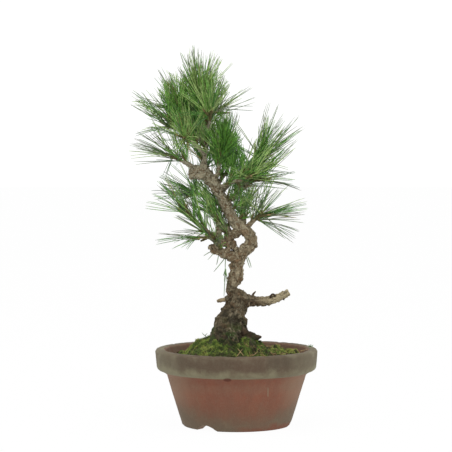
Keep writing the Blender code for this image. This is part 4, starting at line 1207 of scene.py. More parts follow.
@dataclass
class Foliage:
    """The masses of needles with their shoots, buds and sheaths."""

    fascicles: int = 18
    shortest: float = 0.72
    shoot_girth: float = 0.7
    side_length: float = 0.0075
    side_opening: float = 52.0
    side_radius: tuple = (0.0014, 0.0009)
    dwarf_shoots: int = 2
    dwarf_fascicles: int = 8
    dwarf_length: float = 0.66
    limb_fascicles: int = 20
    limb_share: float = 0.55
    limb_tilt: tuple = (12.0, 52.0)
    leader_fascicles: int = 110
    leader_share: float = 0.20
    lift: float = 0.35
    flow_lift: float = 0.75
    flow_depth: float = 0.15
    flow_choices: int = 3
    side_lift: float = 0.25
    against_flow: float = 0.55
    against_kept: float = 0.22
    towards_view: float = -0.50
    downward: float = -0.15
    towards_kept: float = 0.25
    source_outside: float = 0.5
    new_outside: float = 0.08
    thinning: float = 0.9
    needle_radius: float = 0.00038
    pair_spread: tuple = (0.0006, 0.0026)
    bare_low: float = 0.1680
    bare_high: float = 0.2960
    leader_from: float = 0.2640
    leader_crossed: float = 0.35
    bare_root: float = 0.25
    bare_depth: float = 0.004
    pair_root: float = 0.0002
    bow: tuple = (-0.020, 0.045)
    droop: float = 0.10
    # The heart takes only the lighter greens: painted light over the tuft's own vivid green, against the
    # shade of the needles in front
    heart: Region = Region(-0.0105, 0.2860, 0.0200, 0.0250)
    heart_mid: float = 0.20
    old_share: float = 0.025
    grey_share: float = 0.24
    bud_length: float = 0.0050
    bud_radius: float = 0.0010
    sheath_length: float = 0.0026
    sheath_radius: float = 0.00075
    sheath_stations: tuple = ((0.0, 0.8), (0.6, 1.0), (1.0, 0.7))
    seed: int = 29

    def __post_init__(self) -> None:
        """Draw the wood that the needles grow on, as the source draws it."""
        self.rule = GrowthRule()
        self.lines = {name: smooth_line(line, 2) for name, (_, line) in LIMBS.items()}
        self.lines["knob"] = smooth_line(KNOB_LINE, 2)
        self.lines["trunk"] = smooth_line(TRUNK_LINE, 2)
        self.wood = [rod for name, points in self.lines.items() for rod in rods_of(points, name)]
        self.bare = [
            Rod(flat(rod.start), flat(rod.end), rod.radius, "trunk") for rod in self.wood
            if rod.owner in ("trunk", "knob") and self.bare_low < rod.start.z < self.bare_high
        ]

    def fullness(self, mass: Mass) -> float:
        """How full of new needles a mass is, as a share."""
        return FULLNESS.get(mass.name.removeprefix("foliage_"), 1.0)

    def shade_of(self, shoot: Shoot, point: Vector, way: Vector, chance: random.Random) -> int:
        """Deal a shade to a fascicle, as painted light and shade by its spray's height and depth, and by
        where and how it points.
        """
        # Painted light and shade: high, front and upward-pointing needles get the lighter greens, low, back
        # and downward ones the darker
        light = 1.50 + 3.0 * (shoot.end.z - 0.27) + 0.9 * way.z - 9.0 * shoot.end.y - 0.5 * way.y
        light += chance.gauss(0.0, 1.1)
        draw = chance.random()
        # Painted light: the tuft in the heart gets lighter greens, lifting it out of the shade of the needles
        # in front of it
        if self.heart.share(point) < 1:
            return 1 + (draw < self.heart_mid)
        if draw < self.old_share:
            return len(NEEDLE_SHADES) - 2
        inside = any(stand.kept == 1 and stand.share(point) < 1 for stand in STANDS)
        if draw < self.old_share + self.grey_share and not inside:
            return len(NEEDLE_SHADES) - 1
        return min(4, max(0, round(3.0 - light)))

    def is_open(self, root: Vector, point: Vector, chance: random.Random) -> bool:
        """Whether a needle from its root to its point leaves the sky and the trunk's bare front open.

        Args:
            root: where the needle starts.
            point: its tip.
            chance: the source of chance numbers.

        Returns:
            False for a needle that would cover one of them.
        """
        for sky in SKY:
            if sky.is_crossed(root, point) and chance.random() > sky.kept:
                return False
        outline = Rod(flat(root.lerp(point, self.bare_root)), flat(point), self.needle_radius, "")
        if max(root.y, point.y) > self.bare_depth or is_clear(outline, self.bare):
            return True
        return min(root.z, point.z) > self.leader_from and chance.random() < self.leader_crossed

    def clothe(self, mass: Mass, growth: Growth) -> list:
        """Set fascicles all along the shoots of a mass, clear of the wood.

        Args:
            mass: the mass.
            growth: its shoots and the source's needles.

        Returns:
            The mass's fascicles.
        """
        chance = random.Random(mass.name + str(self.seed))
        found = []
        for needle in growth.needles:
            shoot = min(growth.shoots, key=lambda s: (s.end - needle.start).length)
            way = (needle.end - needle.start).normalized()
            wanted = self.is_wanted(needle.end, self.source_outside, chance)
            turned = min(way.y - self.towards_view, way.z - self.downward) < 0
            if turned and chance.random() > self.towards_kept:
                continue
            if way.dot(self.flow(mass)) < self.against_flow and chance.random() > self.against_kept:
                continue
            if wanted and self.rule.in_crown(needle.end) and self.is_open(needle.start, needle.end, chance):
                shade = self.shade_of(shoot, needle.end, way, chance)
                found.append(Fascicle(needle.start, needle.end, shade))
        first = self.rule.first_needle * 0.5
        for shoot, count, longest in self.clothed(growth, self.fullness(mass), chance):
            found += self.spray(mass, shoot, count, first, longest, math.tau, chance)
        return found

    def spray(self, mass: Mass, shoot: Shoot, count: int, first: float, longest: float, loose: float,
              chance: random.Random) -> list:
        """Set fascicles along one shoot.

        Args:
            mass: the mass that the shoot belongs to.
            shoot: the shoot.
            count: how many fascicles have a place on it.
            first: where the first one has its place, as a share of the shoot's length.
            longest: their full length, as a share of the mass's.
            loose: how far each may turn round the shoot, in radians.
            chance: the source of chance numbers.

        Returns:
            The fascicles that found room.
        """
        found = []
        for index in range(count):
            share = (index + chance.random()) / count
            root = shoot.fork.lerp(shoot.end, first + (1.0 - first) * share)
            rods = []
            for _ in range(self.rule.needle_tries):
                spread = self.rule.spread(mass, share, chance)
                way = tilted(shoot.way, spread, index * GOLDEN_ANGLE + chance.uniform(0, loose))
                point = root + way * mass.needle * longest * chance.uniform(self.shortest, 1.0)
                rods.append(Rod(root, point, self.needle_radius, mass.name))
            found += self.pick(mass, shoot, rods, chance)
        return found

    def flow(self, mass: Mass) -> Vector:
        """The way that a mass's needles sweep: its heading, turned up and away from the view's depth."""
        heading = Vector(mass.heading)
        lift = self.flow_lift if mass.stem else self.side_lift
        return Vector((heading.x, heading.y * self.flow_depth, heading.z + lift)).normalized()

    def pick(self, mass: Mass, shoot: Shoot, rods: list, chance: random.Random) -> list:
        """Pick the one of the first few fitting needles that goes best with the mass's flow.

        Args:
            mass: the mass.
            shoot: the shoot that bears the needle.
            rods: the ways that the needle might go.
            chance: the source of chance numbers.

        Returns:
            The fascicle, or nothing where none fits.
        """
        flow = self.flow(mass)
        fitting = []
        for rod in rods:
            if self.fits(rod, chance):
                fitting.append(rod)
            if len(fitting) == self.flow_choices:
                break
        if not fitting:
            return []
        best = max(fitting, key=lambda rod: (rod.end - rod.start).normalized().dot(flow))
        way = (best.end - best.start).normalized()
        return [Fascicle(best.start, best.end, self.shade_of(shoot, best.end, way, chance))]

    def fits(self, rod: Rod, chance: random.Random) -> bool:
        """Whether a new fascicle lies within the crown, where the view wants it, and clear of the wood.

        Args:
            rod: the fascicle, from its root to its point.
            chance: the source of chance numbers.

        Returns:
            Whether it may stay.
        """
        if not self.rule.in_crown(rod.end) or not self.is_wanted(rod.end, self.new_outside, chance):
            return False
        if (rod.end - rod.start).normalized().y < self.towards_view and chance.random() > self.towards_kept:
            return False
        return self.is_open(rod.start, rod.end, chance) and is_clear(rod, self.wood)

    def is_wanted(self, point: Vector, outside: float, chance: random.Random) -> bool:
        """Whether a needle ends where the crown is dense, or is one of the few that stand out of it."""
        out = min(stand.share(point) for stand in STANDS)
        kept = max((stand.kept for stand in STANDS if stand.share(point) < 1), default=0.0)
        return chance.random() < max(kept, outside * math.exp(self.thinning * min(0.0, 1 - out)))

    def on_side(self, side: Side) -> tuple:
        """Grow a finer twig from a limb and clothe it, and give its fascicles and its line.

        Args:
            side: the twig.

        Returns:
            Its fascicles, and its line.
        """
        chance = random.Random(side.carrier + str(side.near) + str(side.heading))
        near = Vector(side.near)
        spot = min(self.lines[side.carrier], key=lambda point: (point.to_3d() - near).length)
        way = Vector(side.heading).normalized()
        fork = spot.to_3d() + way * spot[3] * 0.8
        end = fork + way * self.side_length * chance.uniform(0.8, 1.2)
        mass = Mass(side.carrier, side.carrier, side.heading, 0.0, 1, 0, 0, side.needle, self.side_opening)
        found = self.spray(mass, Shoot(fork, end, way), side.count, 0.0, 1.0, 2.0, chance)
        first, last = self.side_radius
        return found, [(*fork.lerp(end, step / 12), first + (last - first) * step / 12) for step in range(13)]

    def on_limb(self, mass: Mass) -> list:
        """Set fascicles on the outer stretch of the limb that carries a mass, pointing on along it.

        Args:
            mass: the mass.

        Returns:
            The fascicles.
        """
        chance = random.Random(mass.name + "limb" + str(self.seed))
        line = self.lines[mass.carrier]
        leads = mass.carrier == "trunk"
        first = 1 - (self.leader_share if leads else self.limb_share)
        most = self.leader_fascicles if leads else self.limb_fascicles
        count = round(most * self.fullness(mass))
        found = []
        for index in range(count):
            place = (first + (1 - first) * (index + chance.random()) / count) * (len(line) - 1)
            step = min(int(place), len(line) - 2)
            spot = line[step].lerp(line[step + 1], place - step)
            along = (line[step + 1] - line[step]).to_3d().normalized()
            heading = (along + Vector((0.0, 0.0, self.lift))).normalized()
            shoot = Shoot(spot.to_3d(), spot.to_3d() + along * self.rule.shoot_length, along)
            rods = []
            for _ in range(self.rule.needle_tries):
                tilt = math.radians(chance.uniform(*self.limb_tilt))
                way = tilted(heading, tilt, chance.uniform(0, math.tau))
                root = shoot.fork + (way - along * way.dot(along)) * spot[3]
                point = root + way * mass.needle * chance.uniform(self.shortest, 0.95)
                rods.append(Rod(root, point, self.needle_radius, mass.carrier))
            found += self.pick(mass, shoot, rods, chance)
        return found

    def clothed(self, growth: Growth, full: float, chance: random.Random) -> list:
        """The shoots that carry needles: the source's own, and short ones that it is carried on to.

        Args:
            growth: the mass's growth.
            full: how full of new needles the mass is.
            chance: the source of chance numbers.

        Returns:
            Rows of a shoot, its count of fascicles and the share of the full length that they reach.
        """
        rows = [(shoot, round(self.fascicles * full), 1.0) for shoot in growth.shoots]
        for shoot in growth.shoots:
            for _ in range(self.dwarf_shoots):
                fork = shoot.fork.lerp(shoot.end, chance.uniform(0.1, 0.7))
                way = tilted(shoot.way, math.radians(chance.uniform(45, 75)), chance.uniform(0, math.tau))
                end = fork + way * chance.uniform(0.004, 0.008)
                rows.append((Shoot(fork, end, way), round(self.dwarf_fascicles * full), self.dwarf_length))
        return rows

    def build(self) -> list:
        """Grow all the masses and twigs, join them by kind and give the finished pieces.

        Returns:
            The finished pieces.
        """
        others = list(self.wood)
        twigs, buds, fascicles = [], [], []
        for mass in MASSES:
            growth = self.rule.grow(mass, self.lines[mass.carrier], others)
            for points in growth.twigs:
                others.extend(rods_of(points, mass.name))
            others.extend(growth.needles)
            fascicles += self.clothe(mass, growth) + self.on_limb(mass)
            twigs.append(self.stem(growth.twigs[0]))
            for line, shoot in zip(growth.twigs[1:], growth.shoots):
                points = smooth_line(tuple(tuple(p) for p in line), 4)[:13]
                twigs.append([(*point[:3], point[3] * self.shoot_girth) for point in points])
                buds.append(self.bud(shoot))
        for side in SIDES:
            found, twig = self.on_side(side)
            fascicles += found
            twigs.append(twig)
        LOG.info("foliage: %d fascicles on %d shoots", len(fascicles), len(buds))
        return self.join(fascicles, twigs, buds)

    def stem(self, line: list) -> list:
        """A stem's line with as many points as a shoot's, starting a little inside its carrier."""
        start, bend, fork = line
        back = start + (start - bend) * 0.8
        back[3] = start[3]
        return [tuple(back.lerp(bend, step / 6)) for step in range(6)] + [
            tuple(bend.lerp(fork, step / 6)) for step in range(7)
        ]

    def bud(self, shoot: Shoot) -> list:
        """The line of the pointed bud at a shoot's end."""
        sizes = (0.75, 1.0, 0.95, 0.7, 0.38, 0.08)
        steps = len(sizes) - 1
        root = shoot.end - shoot.way * 0.0008
        return [
            (*(root + shoot.way * self.bud_length * step / steps), self.bud_radius * size)
            for step, size in enumerate(sizes)
        ]

    def join(self, fascicles: list, twigs: list, buds: list) -> list:
        """Make joined pieces: needles of each shade, shoots, buds and sheaths.

        Args:
            fascicles: all the fascicles.
            twigs: the lines of all the twigs.
            buds: the lines of all the buds.

        Returns:
            The finished pieces.
        """
        chance = np.random.default_rng(self.seed)
        roots = np.array([tuple(row.root) for row in fascicles])
        points = np.array([tuple(row.point) for row in fascicles])
        shades = np.array([row.shade for row in fascicles])
        count = len(roots)
        ways = points - roots
        lengths = np.linalg.norm(ways, axis=1, keepdims=True)
        ways /= lengths
        sides = np.cross(ways, chance.normal(size=ways.shape))
        sides /= np.linalg.norm(sides, axis=1, keepdims=True)
        apart = chance.uniform(*self.pair_spread, (count, 1))
        bends = np.cross(ways, chance.normal(size=ways.shape)) * lengths
        bends *= chance.uniform(*self.bow, (count, 1))
        level = np.hypot(ways[:, 0], ways[:, 1]) ** 2 * lengths[:, 0]
        bends[:, 2] += level * self.droop * chance.uniform(0.2, 1.0, count)
        starts, tips, bows = [], [], []
        for sign in (-1, 1):
            starts.append(roots + sides * sign * self.pair_root)
            shorter = ways * lengths * chance.uniform(-0.06, 0.0, (count, 1))
            tips.append(points + sides * sign * apart + shorter)
            bows.append(bends + sides * sign * apart * chance.uniform(0.0, 0.8, (count, 1)))
        starts, tips, bows = (np.concatenate(part) for part in (starts, tips, bows))
        numbers = np.concatenate([shades, shades])
        radius = self.needle_radius * chance.uniform(0.85, 1.1, len(starts))
        data = needle_lines(starts, tips, bows, radius)
        ends = roots + ways * self.sheath_length
        sheaths = np.stack([
            np.concatenate([roots * (1 - s) + ends * s, np.full((count, 1), self.sheath_radius * r)], axis=1)
            for s, r in self.sheath_stations
        ], axis=1)
        nodes = [mass.name for mass in MASSES]
        made = [
            tubes("needles_" + name, data[numbers == number], (3, 0.0, self.seed + number), Slot.NEEDLES,
                  needle_finish(name, shade), *nodes)
            for number, (name, shade) in enumerate(NEEDLE_SHADES.items())
        ]
        return made + [
            tubes("shoots", twigs, (8, 0.22, self.seed), Slot.BARK, SHOOT_BARK),
            tubes("buds", buds, (6, 0.12, self.seed + 1), Slot.BARK, BUD_SCALES),
            tubes("needle_sheaths", sheaths, (4, 0.1, self.seed + 2), Slot.BARK, SHEATH_HUSK),
        ]


class Grain:
    """How far along and round its limb each point of a bark surface lies."""

    def __init__(self, lines: list) -> None:
        """Keep the straight stretches of all the lines."""
        pairs = []
        for line in lines:
            run = 0.0
            for a, b in zip(line, line[1:]):
                pairs.append((*a[:3], *b[:3], (a[3] + b[3]) / 2, run))
                run += (b.to_3d() - a.to_3d()).length
        data = np.array(pairs)
        self.starts, self.radii, self.runs = data[:, :3], data[:, 6], data[:, 7]
        self.spans = data[:, 3:6] - self.starts
        self.lengths = np.linalg.norm(self.spans, axis=1)
        self.ways = self.spans / self.lengths[:, None]
        self.first, self.second = squares(self.ways)

    def read(self, points: np.ndarray) -> np.ndarray:
        """Place points in the grain.

        Args:
            points: one row of x, y and z for each point.

        Returns:
            Rows of length along the limb, two lengths across it, and the limb's radius there.
        """
        offset = points[:, None, :] - self.starts[None]
        along = np.clip((offset * self.ways).sum(axis=2), 0.0, self.lengths)
        away = offset - along[..., None] * self.ways
        near = np.argmin(np.linalg.norm(away, axis=2) - self.radii, axis=1)
        rows = np.arange(len(points))
        away = away[rows, near]
        return np.stack([
            self.runs[near] + along[rows, near],
            (away * self.first[near]).sum(axis=1),
            (away * self.second[near]).sum(axis=1),
            self.radii[near],
        ], axis=1)


@dataclass
class Wood:
    """Limbs with the relief of their surface, swept along their lines and grown together."""

    name: str
    slot: Slot
    lines: list
    nodes: tuple
    finish: Bark
    voxel: float
    plate_length: float = 0.0054
    plate_width: float = 0.0034
    wander: float = 1.1
    depth: float = 0.0016
    depth_share: float = 0.22
    lump: float = 0.0022
    lump_size: float = 0.0052
    knurl: float = 0.0013
    knurl_size: float = 0.0027
    fine: float = 0.00018
    fine_size: float = 0.0012
    cut: float | None = None

    def sweep(self) -> bpy.types.Object:
        """Sweep round limbs along the lines and grow them together into one closed skin.

        Returns:
            The skin as an object.
        """
        curve = bpy.data.curves.new(self.name, "CURVE")
        curve.dimensions = "3D"
        curve.bevel_depth = 1.0
        curve.bevel_resolution = 5
        curve.use_fill_caps = True
        for line in self.lines:
            spline = curve.splines.new("POLY")
            spline.points.add(len(line) - 1)
            for spot, point in zip(spline.points, line):
                spot.co = (*point[:3], 1.0)
                spot.radius = point[3]
        piece = bpy.data.objects.new(self.name, curve)
        bpy.context.scene.collection.objects.link(piece)
        choose(piece)
        bpy.ops.object.convert(target="MESH")
        piece = bpy.context.object
        skin = piece.modifiers.new("skin", "REMESH")
        skin.mode = "VOXEL"
        skin.voxel_size = self.voxel
        bpy.ops.object.modifier_apply(modifier=skin.name)
        if self.cut is not None:
            bpy.ops.object.mode_set(mode="EDIT")
            bpy.ops.mesh.select_all(action="SELECT")
            bpy.ops.mesh.bisect(
                plane_co=(0, 0, self.cut), plane_no=(0, 0, 1), clear_inner=True, use_fill=True,
            )
            bpy.ops.object.mode_set(mode="OBJECT")
        return piece

    def carve(self, piece: bpy.types.Object) -> None:
        """Push the skin in and out into lumps, plates and cracks that follow the grain."""
        mesh = piece.data
        count = len(mesh.vertices)
        coords = np.empty(count * 3)
        normals = np.empty(count * 3)
        mesh.vertices.foreach_get("co", coords)
        mesh.vertices.foreach_get("normal", normals)
        coords = coords.reshape(-1, 3)
        normals = normals.reshape(-1, 3)
        placed = Grain(self.lines).read(coords)
        relief = np.empty(count)
        tone = np.empty(count)
        moves = np.empty(count)
        for index, (spot, (along, first, second, radius)) in enumerate(zip(coords, placed)):
            cell = Vector((along / self.plate_length, first / self.plate_width, second / self.plate_width))
            cell += noise.noise_vector(cell * 0.7) * self.wander
            near, seeds = noise.voronoi(cell)
            plate = min(1.0, (near[1] - near[0]) / 0.24)
            shade = (noise.cell(seeds[0] * 5.17) + 1) / 2
            deep = min(self.depth, radius * self.depth_share)
            point = Vector(spot)
            relief[index] = plate
            tone[index] = shade
            moves[index] = (
                deep * (0.5 * plate + 0.5 * shade - 0.5)
                + noise.noise(point / self.lump_size) * min(self.lump, radius * 0.30)
                + noise.noise(point / self.knurl_size) * min(self.knurl, radius * 0.22)
                + noise.noise(point / self.fine_size) * self.fine
            )
        if self.cut is not None:
            moves[coords[:, 2] < self.cut + 0.0002] = 0.0
        coords += normals * moves[:, None]
        mesh.vertices.foreach_set("co", coords.ravel())
        for name, values in (("relief", relief), ("tone", tone)):
            mesh.attributes.new(name, "FLOAT", "POINT").data.foreach_set("value", values.astype(np.float32))
        mesh.update()

    def build(self) -> bpy.types.Object:
        """Sweep, carve and dress the limbs."""
        piece = self.sweep()
        self.carve(piece)
        choose(piece)
        bpy.ops.object.shade_smooth()
        deselect()
        return settle(piece, self.slot, [self.finish.material()], *self.nodes)


BARK = Bark("bark", 0.82, 0.98, 0.7, 1300.0, 0.0005)
DEAD = Bark(
    "dead_wood", 0.75, 0.95, 0.6, 1300.0, 0.0004,
    crack=(32, 24, 18), plate=(66, 55, 40), crest=(116, 104, 84), warm=(78, 60, 42), foot_top=0.0,
    fresh_from=0.016, fresh_to=0.040, fresh=(152, 140, 112),
)
STUB = Bark(
    "stub_wood", 0.75, 0.95, 0.6, 1300.0, 0.0004,
    crack=(40, 32, 22), plate=(92, 78, 58), crest=(150, 136, 110), warm=(98, 80, 58), foot_top=0.0,
    fresh_from=-0.007, fresh_to=-0.013, fresh=(146, 130, 102),
)
SPUR = Bark(
    "spur_bark", 0.85, 1.0, 0.6, 1300.0, 0.0004,
    crack=(30, 24, 16), plate=(66, 54, 40), crest=(98, 84, 64), warm=(80, 58, 40), foot=(44, 36, 26),
    green=(50, 48, 28),
)
SPIKE_LINES = (
    metres((15.5, -3, 127.5, 2.2), (16.6, -4, 130.8, 1.2), (19, -4.5, 134.2, 0.7)),
    metres((17.2, -3.8, 130, 0.8), (16, -4.4, 132.5, 0.4)),
    metres((6, -5, 127.5, 3), (10, -6.2, 126.2, 2.4)),
    metres((19, -4, 127.5, 2.2), (21.5, -5.8, 126.2, 1.6)),
    metres((30, -4, 124.5, 2.6), (33.5, -5.8, 122.8, 1.6)),
    metres((40, -3, 128.5, 2.4), (42.8, -4.6, 127.2, 1.4)),
    metres((11, -5, 121.5, 2.8), (12.8, -5.6, 119.2, 1.6)),
    metres((11, -2, 128, 2.2), (11.8, -3.4, 130.6, 1.2)),
    metres((22.5, -2, 126.2, 2.4), (27, -3, 127.6, 1.6), (29.6, -3.4, 127, 0.9)),
    metres((24.5, -2.5, 121.5, 1.8), (26.2, -3.4, 119.2, 0.8)),
    metres((44, -1, 129, 2), (46.2, -2.6, 126.2, 1)), metres((46, -0.4, 130.3, 3.4), (51.7, 0, 132.9, 3.4)),
    metres((14, -3, 121.5, 2.6), (19, -4, 120.8, 1.8)),
)
CURL_LINES = (
    metres(
        (34.3, -4, 127.2, 1.4), (34.2, -5.8, 130, 1.1), (36.2, -6.2, 131.5, 1), (38.4, -5.6, 130.4, 1),
        (38.6, -4.6, 128.4, 0.8),
    ),
    metres((45.5, -1.8, 128.4, 1.2), (46.8, -3, 126.8, 1), (47.8, -3.4, 125.2, 0.5)),
    metres((23, -4, 121.6, 1.2), (26.2, -4.6, 120.2, 1), (30, -4.4, 120.6, 0.7)),
)
SPUR_LINES = (
    metres((7, -6, 92.5, 4), (13, -7.8, 90, 3.6), (19.5, -8.8, 88, 2.8), (22.2, -9.2, 88.5, 1.6)),
    metres((18.5, -9, 88.5, 1.8), (20, -10, 86.2, 1)),
)


def as_lines(stations: tuple, steps: int = 4) -> list:
    """Smooth lines through several sets of stations."""
    return [smooth_line(line, steps) for line in stations]


@dataclass
class Timber:
    """The trunk, the boughs and the dead wood."""

    collar_points: int = 4
    collar_swell: float = 1.18

    def collars(self) -> list:
        """The swollen first stretch of each bough that leaves the trunk."""
        found = []
        for name, (carrier, line) in LIMBS.items():
            if carrier == "trunk" and name.startswith("bough"):
                start = smooth_line(line, 4)[: self.collar_points + 1]
                found.append([Vector((*point[:3], point[3] * self.collar_swell)) for point in start])
        return found

    def build(self) -> list:
        """Build the woody pieces.

        Returns:
            The trunk, the boughs, the dead branches and the spur.
        """
        trunk = as_lines((TRUNK_LINE, KNOB_LINE)) + as_lines(ROOT_LINES + BUMP_LINES) + self.collars()
        boughs = {name: line for name, (_, line) in LIMBS.items() if name.startswith("bough")}
        dead = (LIMBS["dead_branch_right"][1],)
        stub = (LIMBS["dead_stub_left"][1],)
        spur = (LIMBS["root_spur"][1],)
        return [
            Wood("trunk_bark", Slot.BARK, trunk, ("trunk",), BARK, 0.00060, cut=GROUND).build(),
            Wood("boughs_bark", Slot.BARK, as_lines(tuple(boughs.values()) + GNARL_LINES), tuple(boughs),
                 BARK, 0.00045, plate_length=0.0042, plate_width=0.0026).build(),
            Wood("dead_branch", Slot.DEAD, as_lines(dead + SPIKE_LINES), ("dead_branch_right",),
                 DEAD, 0.00040, plate_length=0.0120, plate_width=0.0020, depth=0.0012, lump=0.0026,
                 lump_size=0.0042, fine=0.00030, fine_size=0.0010).build(),
            Wood("dead_stub", Slot.DEAD, as_lines(stub), ("dead_stub_left",), STUB, 0.00040,
                 plate_length=0.0120, plate_width=0.0020, depth=0.0012).build(),
            Wood("bark_curls", Slot.DEAD, as_lines(CURL_LINES), (), SPUR, 0.00035).build(),
            Wood("root_spur_bark", Slot.DEAD, as_lines(spur + SPUR_LINES), ("root_spur",), SPUR,
                 0.00040).build(),
        ]


@dataclass
class Pot:
    """The training pot: thick banded rim, straight taper, recessed foot with a drain hole and notches."""

    height: float = 0.0767
    rim_radius: float = 0.0817
    lip_width: float = 0.0105
    lip_round: float = 0.0030
    band_height: float = 0.0214
    band_draft: float = 0.0014
    band_round: float = 0.0045
    body_top: float = 0.0715
    foot_radius: float = 0.0545
    wall: float = 0.0065
    floor_top: float = 0.0115
    floor_round: float = 0.0040
    foot_round: float = 0.0015
    ring_width: float = 0.0110
    recess: float = 0.0040
    drain: float = 0.0065
    notch_width: float = 0.0240
    notch_height: float = 0.0056
    notches: int = 3
    first_notch: float = math.radians(-124)
    steps: int = 200
    spacing: float = 0.0030

    def arc(self, x: float, z: float, radius: float, start: float, end: float, steps: int = 6) -> list:
        """Points of an arc in the outline, from one angle in degrees to the other."""
        angles = [math.radians(start + (end - start) * step / steps) for step in range(steps + 1)]
        return [(x + radius * math.cos(a), z + radius * math.sin(a)) for a in angles]

    def wall_radius(self, height: float) -> float:
        """Radius of the straight outer wall at a height."""
        rise = self.body_top - self.foot_radius
        return self.foot_radius + rise * height / (self.height - self.band_height)

    def outline(self) -> list:
        """The closed outline that is spun round the axis, with no stretch longer than the spacing."""
        foot = self.height - self.band_height
        lip_inner = self.rim_radius - self.lip_width
        low = self.rim_radius - self.band_draft
        ring = self.foot_radius - self.ring_width
        inner = self.wall_radius(self.floor_top + self.floor_round) - self.wall
        top = self.height - self.lip_round
        corners = self.arc(lip_inner + self.lip_round, top, self.lip_round, 180, 90)
        corners += self.arc(self.rim_radius - self.lip_round, top, self.lip_round, 90, 0)
        corners += self.arc(low - self.band_round, foot + self.band_round, self.band_round, 0, -75)
        corners += [
            (self.body_top + 0.0015, foot - 0.0016), (self.wall_radius(foot - 0.0040), foot - 0.0040),
            (self.wall_radius(self.foot_round), self.foot_round), (self.foot_radius - self.foot_round, 0.0),
            (ring, 0.0), (ring - self.foot_round, self.recess), (self.drain, self.recess),
            (self.drain, self.floor_top), (inner - self.floor_round, self.floor_top),
            (inner, self.floor_top + self.floor_round),
        ]
        points = []
        for (x, z), (to_x, to_z) in zip(corners, corners[1:] + corners[:1]):
            parts = max(1, math.ceil(math.dist((x, z), (to_x, to_z)) / self.spacing))
            points += [
                (x + (to_x - x) * part / parts, z + (to_z - z) * part / parts) for part in range(parts)
            ]
        return points

    def wear(self, piece: bpy.types.Object) -> None:
        """Work the clay inwards into slight waves, a rough lip, small chips and a thumb mark."""
        mark_x, mark_z = -0.0090, 0.0535
        mark_half_x, mark_half_z, mark_depth = 0.0042, 0.0020, 0.0016
        for vertex in piece.data.vertices:
            spot = vertex.co.copy()
            out = Vector((spot.x, spot.y, 0.0)).normalized()
            if spot.length < self.drain * 2 or spot.z < 0.0005:
                continue
            wave = 0.00028 * (1 + noise.noise(spot / 0.0180)) + 0.00012 * (1 + noise.noise(spot / 0.0045))
            vertex.co -= out * wave
            lip = (spot.z - self.height + 0.0028) / 0.0028
            if lip > 0:
                rough = max(0.0, noise.noise(spot / 0.0060) - 0.12) * 0.0022
                vertex.co.z -= lip * (rough + 0.00015 * (1 + noise.noise(spot / 0.0025)))
            if out.y < 0 and spot.z > 0.04:
                away = Vector(((spot.x - mark_x) / mark_half_x, (spot.z - mark_z) / mark_half_z))
                if spot.xy.length < self.rim_radius - 0.006 and away.length < 1:
                    vertex.co -= out * mark_depth * (1 - away.length**2)

    def build(self) -> list:
        """Spin the outline, cut the notches, wear the clay and give the pot.

        Returns:
            The finished pot, in a list.
        """
        outline = self.outline()
        count = len(outline)
        mesh = bpy.data.meshes.new("pot_clay")
        mesh.from_pydata([(x, 0.0, z) for x, z in outline], [(n, (n + 1) % count) for n in range(count)], [])
        piece = bpy.data.objects.new("pot_clay", mesh)
        bpy.context.scene.collection.objects.link(piece)
        choose(piece)
        bpy.ops.object.mode_set(mode="EDIT")
        bpy.ops.mesh.select_all(action="SELECT")
        bpy.ops.mesh.spin(steps=self.steps, angle=math.tau, center=(0, 0, 0), axis=(0, 0, 1))
        bpy.ops.mesh.select_all(action="SELECT")
        bpy.ops.mesh.remove_doubles(threshold=0.00001)
        bpy.ops.mesh.normals_make_consistent(inside=False)
        bpy.ops.object.mode_set(mode="OBJECT")
        radius = ((self.notch_width / 2) ** 2 + self.notch_height**2) / (2 * self.notch_height)
        reach = self.foot_radius - self.ring_width / 2
        for index in range(self.notches):
            angle = self.first_notch + index * math.tau / self.notches
            deselect()
            bpy.ops.mesh.primitive_cylinder_add(
                vertices=64, radius=radius, depth=2 * self.ring_width,
                location=(reach * math.cos(angle), reach * math.sin(angle), self.notch_height - radius),
                rotation=(math.pi / 2, 0.0, angle + math.pi / 2),
            )
            cutter = bpy.context.object
            choose(piece)
            cut = piece.modifiers.new("notch", "BOOLEAN")
            cut.object = cutter
            bpy.ops.object.modifier_apply(modifier=cut.name)
            bpy.data.objects.remove(cutter)
        self.wear(piece)
        piece.data.materials.clear()
        choose(piece)
        bpy.ops.object.shade_smooth_by_angle(angle=math.radians(50))
        deselect()
        clay = OldClay("old_clay", 0.72, 0.95, 0.2, 900.0, 0.0005)
        return [settle(piece, Slot.CLAY, [clay.material()], "pot")]


